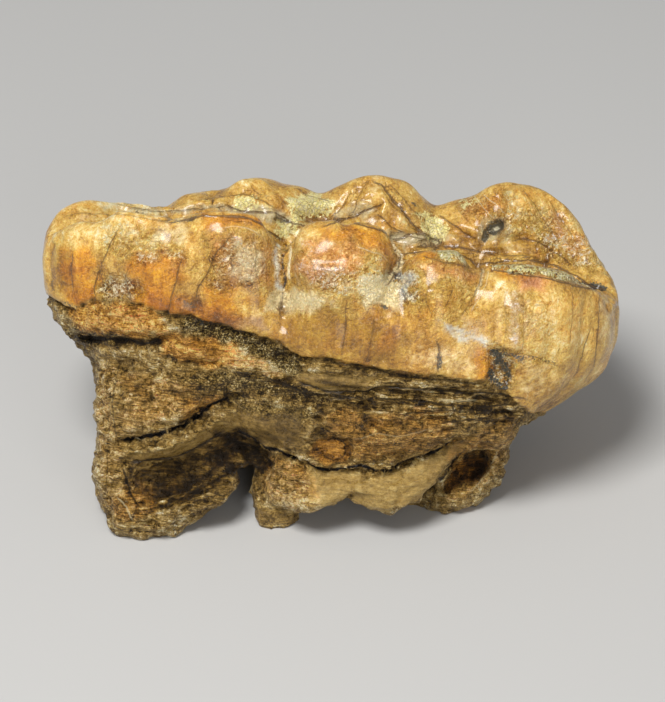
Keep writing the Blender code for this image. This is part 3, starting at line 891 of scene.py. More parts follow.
    def shader(self, graph: Graph) -> Wire:
        """Builds the enamel's shader: its gloss is broken where grit and stains lie.

        Args:
            graph: The material's graph.

        Returns:
            The shader.
        """
        noises = self.relief(graph)
        mottle, fine, grain = noises["mottle"], noises["fine"], noises["grain"]
        grainy = graph.mask(Layer.GRAIN)
        grit = (grainy + graph.mask(Layer.YELLOW) + graph.mask(Layer.VEIN) * 0.5).clamped()
        rough = 0.26 + grit * 0.10 + fine.swing(0.7)
        dark, pale = graph.inked(fine.swing(1.6))
        height = mottle * 1.2 + fine * 0.7 + grain * (grit * 0.6 + 0.2)
        height = height + noises["gap"].stepped(0.0, 0.12) * grit * 0.5
        height = height + noises["wrinkle"] * (grainy.stepped(0.0, 0.5) * 1.1 + 0.12)
        height = height - dark * 1.2 + pale * 0.4
        values = {"Strength": 0.85, "Distance": self.bump, "Height": height}
        bumped = graph.node("ShaderNodeBump", {}, values)
        values = {
            "Base Color": self.colour(graph, noises),
            "Roughness": rough.clamped(),
            "Specular IOR Level": 0.5,
            "Coat Weight": (0.45 - grit * 0.25).clamped(),
            "Coat Roughness": 0.16,
            "Subsurface Weight": 0.06,
            "Subsurface Radius": (1.0, 0.5, 0.2),
            "Subsurface Scale": 0.4 * MILLIMETRE,
            "Normal": bumped,
        }
        return graph.node("ShaderNodeBsdfPrincipled", {}, values)


@dataclass(frozen=True)
class Root:
    """Rough brown root and broken dentine, from soot-dark cracks to pale grains."""

    ground: tuple = (
        (0.00, (0.012, 0.006, 0.001)),
        (0.16, (0.042, 0.022, 0.004)),
        (0.34, (0.130, 0.074, 0.014)),
        (0.50, (0.265, 0.158, 0.038)),
        (0.66, (0.42, 0.270, 0.078)),
        (0.82, (0.60, 0.44, 0.18)),
        (1.00, (0.88, 0.77, 0.50)),
    )
    rust: Colour = (1.12, 0.80, 0.40)
    khaki: Colour = (0.96, 0.98, 0.96)
    soot: Colour = (0.90, 0.96, 0.95)
    ink: Colour = (0.022, 0.014, 0.007)
    # pale specks and strands, and the colour of a painted glint
    speck_and_glint: Colour = (0.72, 0.60, 0.34)
    crack: Colour = (0.008, 0.005, 0.004)
    # the painted light and shade of the crust compare its noise with itself this step towards the light
    lean: tuple[float, float, float] = (-0.02, -0.03, 0.08)  # a step towards the light, in millimetres
    # the sizes of the noises' lumps, in millimetres
    cloud_size: float = 2.2
    fine_size: float = 0.55
    gap_size: float = 0.55
    fibre_size: float = 0.42
    flake_size: float = 0.35
    crust_size: float = 0.30
    grain_size: float = 0.14
    bump: float = 0.2 * MILLIMETRE

    def colour(self, graph: Graph, noises: dict[str, Wire]) -> Wire:
        """Builds the root's colour.

        Args:
            graph: The material's graph.
            noises: What relief gives.

        Returns:
            The colour.
        """
        cloud, lit, fine, grain, fibre, flake, gap = noises.values()
        smooth, soot, fibrous = graph.mask(Layer.SMOOTH), graph.mask(Layer.SOOT), graph.mask(Layer.FIBRE)
        rough = 1.0 - smooth * 0.66
        level = 0.56 + graph.mask(Layer.TONE) + cloud.swing(rough * 0.9)
        level = level + fine.swing(rough * (1.9 - fibrous * 0.7)) + grain.swing(rough * (1.0 + soot * 3.2))
        level = level + fibre.swing(rough * (0.9 + fibrous * 1.7)) + flake.swing(rough * 0.40)
        # painted shade darkens the hollows, and a painted highlight lightens what stands proud
        level = level - soot * 0.15 - graph.mask(Layer.HOLLOW) * (0.26 * rough)
        level = level + graph.mask(Layer.EDGE) * (0.09 * rough)
        colour = graph.toned(level.clamped(), self.ground)
        rust = (graph.mask(Layer.RUST) + fine.swing(1.2) + cloud.swing(0.8)).stepped(0.2, 0.9)
        for share, tint in ((rust, self.rust), (smooth, self.khaki), (soot, self.soot)):
            colour = graph.mixed(share, colour, tint, "MULTIPLY")
        # painted light and shade of the rough relief, laid over the colour
        colour = graph.embossed(colour, lit, rough * 2.6)
        clefts = (1.0 - gap.stepped(0.0, 0.06)) * (fine + (cloud - 0.5)).stepped(0.46, 0.66) * rough
        colour = graph.mixed(clefts * 0.7, colour, self.crack)
        dark, pale = graph.inked(fine.swing(2.2))
        colour = graph.mixed(pale * 0.9, colour, self.speck_and_glint)
        colour = graph.mixed(dark, colour, self.ink)
        return graph.mixed(graph.mask(Layer.CRACK).stepped(0.25, 0.6), colour, self.crack)

    def relief(self, graph: Graph) -> dict[str, Wire]:
        """Builds the noises that colour and relief share.

        Args:
            graph: The material's graph.

        Returns:
            Each noise by its name.
        """
        place = graph.place()
        layered = graph.place(turn=0.12, stretch=(0.22, 1.0, 1.3))
        crumpled = graph.warped(place, 0.6, 0.35)
        shifted = graph.node("ShaderNodeVectorMath", {"operation": "ADD"}, {0: layered, 1: self.lean})
        crusty = [graph.noise(at, self.crust_size, 5.0, 0.7, 0.4) for at in (layered, shifted)]
        return {
            "cloud": graph.noise(place, self.cloud_size, 5.0, 0.65, 0.5),
            # painted light and shade: how the crust rises towards the light, used in the colour only
            "lit": crusty[0] - crusty[1],
            "fine": graph.noise(place, self.fine_size, 8.0, 0.8, 0.4),
            "grain": graph.noise(place, self.grain_size, 3.0, 0.8),
            "fibre": graph.noise(layered, self.fibre_size, 6.0, 0.75, 0.6),
            "flake": graph.flakes(crumpled, self.flake_size),
            "gap": graph.gaps(crumpled, self.gap_size),
        }

    def shader(self, graph: Graph) -> Wire:
        """Builds the root's shader: dull and gritty, smoother on the bare dentine.

        Args:
            graph: The material's graph.

        Returns:
            The shader.
        """
        noises = self.relief(graph)
        fine, grain, fibre, flake = (noises[name] for name in ("fine", "grain", "fibre", "flake"))
        smooth = graph.mask(Layer.SMOOTH)
        dark, pale = graph.inked(fine.swing(2.2))
        height = (fine * 2.2 + grain * 0.8 + fibre * 1.0 + flake * 0.3) * (1.0 - smooth * 0.7)
        height = height - dark + pale * 0.6
        values = {"Strength": 1.0, "Distance": self.bump, "Height": height}
        bumped = graph.node("ShaderNodeBump", {}, values)
        rough = 0.36 - smooth * 0.06 + fine.swing(0.9)
        values = {
            "Base Color": self.colour(graph, noises),
            "Roughness": rough.clamped(),
            "Specular IOR Level": 0.42,
            "Normal": bumped,
        }
        return graph.node("ShaderNodeBsdfPrincipled", {}, values)


@dataclass(frozen=True)
class Carving:
    """The tooth's relief as drawn on its sides.

    The note above each sheet names its rows' numbers, in millimetres.  Depths go into the surface; a
    ridge's is below 0.
    """

    # half width, depth: the lingual wall's grooves
    wall_grooves: Sheet = """
    0.8 0.62: -3.8 9.2, -3.6 7.9, -3.8 6.9, -3.6 5.5, -3.8 3.9, -4.1 2.6
    0.28 0.35: -3.8 8.9, -3.6 7.7, -3.8 6.4, -3.6 4.7
    0.6 0.5: 4.1 9.1, 4.7 8.4, 5.5 7.6, 5.2 6.8, 4.7 5.8, 4.1 4.9
    0.26 0.28: 4.2 8.9, 4.8 8.2, 5.5 7.5, 5.2 6.7, 4.7 5.8
    0.9 -0.3: 11.4 5.2, 10.9 3.9, 10.1 2.2
    0.24 0.26: 11.5 6.9, 11.5 5.6, 10.9 4.2, 10.2 2.7
    0.5 0.16: -18.1 6.4, -18.4 5.2, -18.5 3.6
    0.55 0.18: -11.5 7.8, -12 5.5, -12.3 4.3, -12.7 2.7
    0.55 0.18: -7.8 8.8, -9.2 7, -9.6 5.8, -10.3 4.8, -10.4 3.9
    0.8 0.14: -15.5 8.9, -15.8 6.9, -16 5
    0.45 0.12: 1.1 4.3, 1 1.6, 0.7 -0.2
    0.5 0.12: 5.6 5.2, 5.4 2.4, 5.5 -0.7
    0.45 0.14: 13 4.9, 13.2 2, 13 -0.5
    0.4 0.12: 14.5 4.7, 14.7 1.8, 14.6 -0.7
    0.4 0.12: 16.4 4.6, 16.8 1.6, 16.5 -1.6
    0.45 0.14: 19.5 4.6, 19.4 1.6, 19 -1.6
    0.5 0.12: -21.1 8.7, -20.9 6.4, -20.3 3.9
    # a waist under the rim of the right lobe, and above its lower band
    0.5 0.22: 8 6.9, 9.5 6.6, 11.3 6.1
    0.35 0.25: 11.7 6.4, 13.3 6, 16.1 5.9, 19.2 5.4, 21 4.8
    # the crown's swell above its lower edge
    0.3 0.16: 13.3 -0.1, 15.3 -0.5, 17.6 -0.7
    0.3 0.3: -20.9 1.6, -19.5 1, -17.2 0.8, -15.7 0.7, -14.4 0.4, -13.3 0.9, -11.3 1.2
    """
    # half width, height: its rounded rims
    wall_ridges: Sheet = """
    0.5 0.22: -20.9 11, -18.1 10.7, -15.2 10.4, -13.6 10.1, -11.8 10, -10.2 10.3, -8.2 10.4, -6.3 10.2,
        -5 9.6
    0.45 0.25: -0.8 9.4, 0.3 9.8, 1.7 9.7, 3.2 9.4, 4.2 8.9
    0.4 0.2: 5.5 7.7, 6.9 7.9, 9.1 7.9, 10.9 7.4
    0.4 0.28: 11.6 6.9, 13 7, 15.8 7.2, 17.4 6.9, 19 6.1, 20.2 5.3
    0.3 0.12: 12.5 6.3, 14.5 5.8, 16.4 5.6, 18.8 5, 20.8 4.6
    # swellings of the lingual wall
    1.1 0.22: -14.1 6.9, -13.5 5.1, -13.7 3.8
    1.0 0.2: -8.6 7.2, -8.2 5.1, -8.4 3.6
    1.3 0.22: -1.1 6.9, -1.1 3.9, -1.3 0.9
    0.9 0.35: 2.6 6.1, 3.2 4.6, 3.7 3.9
    1.0 0.18: 3.2 2.6, 3.5 0.5, 3.7 -0.7
    1.2 0.22: 7.5 5.1, 7.9 3.2, 8.2 0.1
    0.7 0.14: 13.9 3.9, 13.9 1.2, 13.9 -0.1
    1.0 0.2: 17.8 3.9, 18.1 1.2, 17.6 -1.6
    0.8 0.16: -19.7 8.1, -19.5 6.1, -19.2 4.3
    0.9 0.14: -6.8 9.2, -6.4 6.9, -6.4 5
    """
    # side, half width, depth: what the sides away from the lingual one carry
    far_grooves: Sheet = """
    # grooves under the notches between the labial cusps
    labial 0.9 0.6: 8.4 10, 8.1 6.5, 7.2 3, 6.8 1.6
    labial 0.3 0.3: 8.4 9, 8.1 6, 7.4 3.4
    labial 0.9 0.6: -1.4 10, -1.6 7, -2.2 4
    labial 0.3 0.3: -1.4 9, -1.7 6.6, -2.1 5
    labial 0.8 0.4: -12.6 9.8, -13 7.4, -12.8 5.4
    labial 0.7 0.3: 18.6 6.6, 18.3 3, 17.8 -0.6
    labial 0.35 0.14: 13 8.6, 12.8 5, 12 2.4
    labial 0.35 0.14: 3 9, 2.6 6.4, 2.8 4.4
    labial 0.35 0.14: -7 9.4, -7.4 7.2, -7.2 5.6
    # the labial wall's swellings, and the faint shelf round its foot
    labial 2.0 -0.4: 15.2 8, 15 4, 14.4 0
    labial 2.0 -0.4: 3.6 9, 3.4 6.4, 3 3.6
    labial 2.0 -0.35: -6 9.6, -6.2 7.4, -6 5.4
    labial 1.6 -0.25: -17 8.8, -17.2 7, -17 5.6
    labial 0.6 -0.28: 19 -2.6, 14 -0.4, 8 1.6, 2 3, -6 4.4, -14 5.2
    # ridges from the labial cusps' tips down into the basin, with furrows between them
    top 0.6 -0.35: 14.6 5.6, 13.6 2.6, 12 0.2, 11.2 -1.6
    top 0.6 -0.35: 4 5.6, 4.2 3.2, 3.4 1, 3.6 -1
    top 0.6 -0.35: -5.8 5.8, -5.2 3.4, -6.2 1.2, -5.6 -0.8
    top 0.4 0.45: -16.8 3.8, -12 1.4, -6 0, 0 -0.6, 6 -0.8, 12 -1.4, 17 -2.4
    top 0.35 0.35: -9.6 4.8, -9.4 2.6, -8.4 0.8
    top 0.35 0.3: -13.6 4, -12.8 2.4, -11.8 1.2
    top 0.35 0.35: 0 5, 0.4 2.6, 0 0.4
    top 0.35 0.4: 8.2 5, 8.2 2.6, 7.4 0.2
    top 0.35 0.3: 17.6 3.6, 16.4 1.2, 15 -1
    top 0.35 0.3: -10.6 -4.8, -10 -2.6, -10.4 -0.8
    top 0.35 0.3: -15 -3.6, -14.2 -1.6, -13.4 0.2
    top 0.35 0.3: 1.6 -5.8, 2 -3.8, 1.2 -2
    top 0.35 0.3: 10 -6, 9.6 -4, 10.2 -2.4
    # the crown's ends
    distal 0.6 0.25: -3 9.6, -2.6 7.6, -2.8 5.8
    distal 0.6 0.2: 3.6 8.6, 3.4 7, 3.2 5.6
    mesial 0.6 0.25: -2.4 4.8, -2.6 1.2, -2 -2.2
    mesial 0.6 0.25: 3.4 5.6, 3.8 1.8, 3.4 -2
    mesial 0.5 0.2: -7 3.6, -6.6 0.4, -6.4 -2.6
    """
    # half width, depth: the chewing face's veins, pits and wrinkles
    basin_furrows: Sheet = """
    0.35 0.3: -18.3 11.5, -16.1 11.2, -13.8 10.9, -11.3 10.9, -8.8 11.3, -6.5 11.2
    0.3 0.35: -13.8 10.1, -11.6 10.4, -9.4 10.9, -7.7 10.9, -5.6 10.4, -4.5 10.1
    0.45 0.35: -13.7 10.6, -12.1 10.5, -10.8 10.6
    0.25 0.35: -8.5 11.6, -7.3 11.1, -6.1 11, -4.7 11
    0.55 0.55: -4.6 10.6, -4 10.3, -3.5 10.2
    0.3 0.3: -2.9 10.9, -1.6 10.6, -0.5 11
    0.3 0.35: -1 10.2, 0.1 10.5, 1.5 10.7, 2.8 11.2, 4 11.7
    0.28 0.4: 4 13.7, 4.3 12.8, 4.7 12.1, 5.4 11.5, 6.3 10.2, 7.2 9.5, 8.1 8.9, 9 8.6
    0.35 0.4: 4.5 9, 5.7 9.1, 6.8 9.4, 7.4 9.1
    0.25 0.3: 6.5 8.3, 7.7 8.5, 9 8.3, 10.3 8.3
    0.3 0.3: 8.6 10.2, 9.5 9.8, 10.6 9.4, 11.5 9
    0.25 0.22: 10.9 8.3, 12.3 8.1, 13.9 7.9, 15.7 7.9
    0.25 0.25: 14.2 9, 15.4 9.1, 16.5 8.8, 17.7 8
    0.25 0.2: 10.2 12, 10.8 11, 11.2 10.1
    0.25 0.2: 11.5 12.5, 12 11.5, 12.7 10.7
    0.25 0.2: 13.1 12.8, 13.9 11.5, 14.9 10.4, 15.7 9.4
    0.25 0.22: 15.2 13.1, 16.3 11.5, 17.1 10.1, 18.1 8.5
    0.3 0.25: 17.1 12.5, 18.1 11, 19 9.1, 20 7.5
    0.3 0.28: 1.4 12.8, 0.6 11.5, 0 10.7
    0.3 0.24: 2.3 13.1, 1.9 12, 1.5 10.9
    0.3 0.25: -9.6 12.8, -10 12, -10.7 11.2
    0.3 0.25: -7.7 13.3, -7.8 12.3, -8.1 11.5
    0.3 0.25: -5.6 13.4, -5.3 12.3, -4.8 11.5
    """
    # half width, height: the folds between them
    basin_folds: Sheet = """
    0.35 0.2: -17.7 11.7, -15.3 11.4, -12.7 11.3, -10 11.8, -8 12.1
    0.3 0.18: -10.8 9.9, -9.4 10.4, -8 10.5, -6.5 10.3
    0.45 0.3: -3.5 11.5, -2.6 11.8, -1.2 11.7, 0 12
    0.4 0.25: 5 10.6, 6 9.6, 6.9 8.8
    0.22 0.2: 11.5 8.8, 11.9 9.7, 12.7 10.4, 14.1 10.8
    0.22 0.2: 12.3 8.5, 13.2 8.9, 14.1 9.6, 14.4 10.4
    0.5 0.22: 3.1 13.3, 2.8 12.3, 2.2 11.5
    0.4 0.2: 9.5 11.7, 10.9 10.8, 12.2 10.2
    """
    # depth, soft edge, wander: the grainy pits in the crown's foot
    crown_pits: Sheet = """
    0.3 0.4 0.4: -18 5, -17.4 5.6, -16.4 5.7, -15.5 5.4, -15.1 4.7, -15.8 4.2, -16.9 3.9, -17.8 4.3
    0.2 0.5 0.3: -11.5 4.1, -10.4 3.9, -10.2 3, -11 2.9
    0.5 0.18 0.2: 11.9 0.1, 13.3 0.1, 13.9 -1.2, 13.6 -2.6, 12 -2.7
    """
    # drop, run: the root's ledges; the left of each line's course is raised
    ledges: Sheet = """
    0.35 0.9: -2.5 -2.4, -4.8 -2.1, -7.2 -1.2, -9.1 -0.2, -11 0.5, -13.3 0.9
    0.45 1.1: -16.4 -8.3, -14.1 -8, -12 -7.5, -9.9 -6.4, -8.3 -5.4, -7.2 -4.9
    -0.55 1.4: -7.5 -3.1, -8.3 -3.7, -10.5 -5.1, -12.3 -6, -14.4 -6.6, -17 -7
    -0.4 1.2: -1.7 -8.7, -3.5 -8.1, -5.4 -7.5, -7.5 -6.1
    -0.55 1.5: 10 -6.6, 8.2 -7.7, 5.5 -8.6, 4.3 -9.3, 2.2 -9.1, 0 -9.3, -1.7 -8.7
    0.3 1.0: 9.9 -3.8, 6.8 -4.1, 3.7 -3.6, 0.6 -3, -2.5 -2.7
    0.3 0.9: 14.5 -5, 11.4 -4.7, 8.3 -4.6, 5.2 -4.9
    0.25 0.9: -0.2 -11.5, 2.1 -11.1, 5.2 -10.9, 6.8 -10.4
    -0.25 0.5: -1 -6.9, 1 -7, 1 -8.3, -0.6 -8.4
    """
    # half width, depth: the root's furrows
    root_grooves: Sheet = """
    0.3 0.35: -12 -5.7, -11 -5.2, -9.9 -4.3
    0.4 0.3: -17.7 -2.2, -17.5 -5.3, -17.4 -8.4, -17.5 -11.5
    0.35 0.25: -18.3 -1.5, -18 -5.3, -18 -9.2
    0.4 0.35: -16.8 -0.7, -15.7 -2.6, -14.1 -3.8, -11.8 -4.1
    0.45 0.35: -15.8 -9.2, -13.3 -8.9, -10.3 -8.6, -7.5 -7.8
    0.4 0.3: -15.8 -10.1, -13.3 -9.8, -9.9 -9.5, -7.2 -8.7
    0.35 0.3: -15.4 -11.1, -13.3 -10.8, -10.3 -10.4, -7.8 -9.7
    0.45 0.4: -2.5 -3.6, 0.6 -4.1, 3.7 -4.4, 6.8 -4.1, 10.6 -4.1, 13.7 -3.6
    0.35 0.35: -0.2 -2.6, 2.9 -3.2, 6.8 -3.3, 11.4 -3.2, 14.5 -3.2
    0.4 0.35: 1.4 -5.3, 4.4 -5.6, 7.5 -5.3, 10.6 -5, 13.7 -4.9
    0.4 0.3: -6.8 -4.1, -4.8 -4.4, -2.5 -4.7, -0.7 -5.6
    0.45 0.35: -1 -4.6, -0.8 -6.6, -0.5 -8.6
    0.4 0.3: -5.6 -9.2, -4.1 -9.8, -2.5 -10.4, -1.1 -11.5
    0.4 0.25: 1.4 -10, 3.7 -10.4, 6 -10, 8.3 -8.9
    0.25 0.25: 1 -12.5, 1.5 -11.1, 1.8 -9.8
    0.25 0.2: 4.9 -12.5, 5.2 -11.1, 5.1 -9.8
    0.35 0.5: 10.3 -7.7, 9.6 -8.6, 8.5 -10.1, 7.3 -11.2
    0.35 0.4: 11.4 -6.9, 12 -8.6, 11.4 -10.3
    """
    # depth, soft edge, wander: the distal root's dark hollow
    hollow: Sheet = """
    0.5 1.1 0.3: -15.4 -9.7, -11.8 -8.9, -8.2 -7.2, -7 -7.7, -6.9 -9.2, -8.6 -10.3, -11.6 -11.2, -14 -11.4,
        -15.5 -10.8
    """
    # half width, depth: the layers that cross it
    hollow_layers: Sheet = """
    0.3 0.3: -16 -12, -13.7 -11.4, -10.6 -10.1, -7.5 -8.1
    0.3 0.25: -16.3 -12.9, -13.3 -12.3, -9.9 -10.8, -7 -8.7
    0.3 0.25: -15.5 -13.7, -12.6 -12.9, -9.5 -11.5, -6.8 -9.8
    0.3 -0.25: -16.1 -12.5, -13.5 -11.8, -10.3 -10.4, -7.3 -8.4
    0.3 -0.22: -15.8 -13.3, -12.9 -12.6, -9.6 -11.1, -6.8 -9.3
    """
    # depth, soft edge, wander: the mesial root's hole
    hole: Sheet = """
    0.5 0.5 0.3: 9.1 -9.8, 9.9 -8.7, 10.8 -8.2, 11.7 -8.5, 12.3 -9, 12 -9.7, 11.1 -10.3, 10.2 -10.4,
        9.2 -11.1, 8.8 -10.9
    """
    # half width, depth: the pale strand beside the hole
    strand: Sheet = """
    0.35 -0.25: 8.2 -10.6, 8.9 -9.8, 9.6 -9, 10.3 -8.1
    """
    # depth, soft edge, wander: the smooth lens of dentine, and a scab in the fork
    scabs: Sheet = """
    -0.25 0.3 0.2: -2.7 -1.6, -0.2 -2.1, 3.1 -2.6, 2.6 -3, -0.2 -2.9, -2.5 -2.4
    -0.35 0.2 0.0: -8.4 -5.6, -7.6 -5.6, -7.6 -6.2, -8.3 -6.2
    """
    # half width, depth: the middle root's swollen end
    swelling: Sheet = """
    0.9 -0.55: -5.3 -10.8, -3.8 -11.5, -2.2 -11.8, -0.5 -11.5, 1 -11.1
    """
    # soft edge, strength: smooth, bare dentine between the broken layers
    dentine: Sheet = """
    0.2 1.0: -16.1 -8.1, -12 -7.4, -8.3 -5.2, -7.2 -4.6, -6.8 -5.5, -8.2 -6.3, -11.8 -8.3, -15.7 -8.8
    0.4 0.85: -7.2 -4.6, -2.2 -4.6, -2.4 -7.2, -5.5 -7.4, -7.3 -6.1
    0.3 0.95: -1.9 -9.1, 4.3 -9.5, 8.3 -8, 10.2 -6.9, 10.2 -7.7, 8.6 -9.8, 7.1 -11.5, 3.7 -12.6, -0.2 -12.1,
        -1.7 -11.5
    0.25 1.0: -2.7 -1.6, -0.2 -1.7, 3.1 -2.2, 2.4 -3.1, -0.2 -3.2, -2.5 -2.7
    0.3 0.6: -6.1 -12, -2.8 -12.3, -3 -13.7, -5.8 -13.5
    0.5 0.45: -15.2 -8.7, -12 -8.3, -8.6 -6.4, -7.2 -7.4, -6.8 -9.1, -8.6 -10.4, -11.8 -11.8, -14.1 -12,
        -15.5 -10.9
    0.2 0.6: -1 -6.9, 0.9 -7, 0.9 -8.3, -0.8 -8.3
    """
    # where the enamel ends, as (x, z), on the lingual side and on the labial one
    lingual_margin: Line = """-23 5, -20.4 4.6, -18.3 5.3, -15.6 5.6, -13.5 5.1, -11.3 4.8, -10.2 4.3,
        -6.5 3.7, -4.1 2.6, -2.4 1.7, 0 1.6, 2.5 1.1, 5.5 0.5, 8.5 0.3, 11.5 -0.1, 13.3 -1.1, 15.4 -3.3,
        17.5 -4.6, 23 -5"""
    labial_margin: Line = "-23 4.6, -16 3.9, -9 3.1, -4 1.4, 3 1.7, 9 -0.2, 15 -2.2, 19 -4.4, 23 -5"
    # half width, depth: the fine cracks, opened once all else is carved
    cracks: Sheet = """
    0.11 0.25: -3.8 8.7, -3.5 7.9, -3.8 7.3, -3.9 6.7, -3.6 5.5, -3.8 4.6
    0.16 0.3: 19.6 5.4, 20.2 5.1, 20.9 4.9, 21.6 4.7
    0.19 0.5: -17 -7, -15.7 -6.8, -14.4 -6.6, -13.3 -6.4, -12.3 -6, -11.3 -5.6, -10.5 -5.1, -9.6 -4.3,
        -8.3 -3.7, -7.5 -3.2
    0.2 0.45: -7.5 -6.1, -6.4 -6.7, -5.4 -7.5, -4.4 -7.7, -3.5 -8.1, -2.4 -8.5
    0.15 0.4: -2.4 -8.5, -1.1 -9.1, 0 -9.3, 1.1 -9.1, 2.2 -8.9, 3.3 -9.3, 4.3 -9.3, 5.5 -8.6, 6.8 -8.2,
        8.2 -7.7, 9.9 -6.6
    """
    # half width, depth: the leaf-shaped pit in the mesial cusp
    pit: Sheet = """
    0.4 0.4: 11.9 8.8, 12.3 9.4, 12.9 9.8, 13.5 10.2, 13.9 10.6
    """


@dataclass(frozen=True)
class Scatter:
    """A mask strewn by noise over the sides that aren't drawn."""

    layer: Layer
    size: tuple[float, float, float]  # its patches' size along X, Y and Z, in millimetres
    seed: float
    low: float  # the noise's value where a patch begins
    strength: float


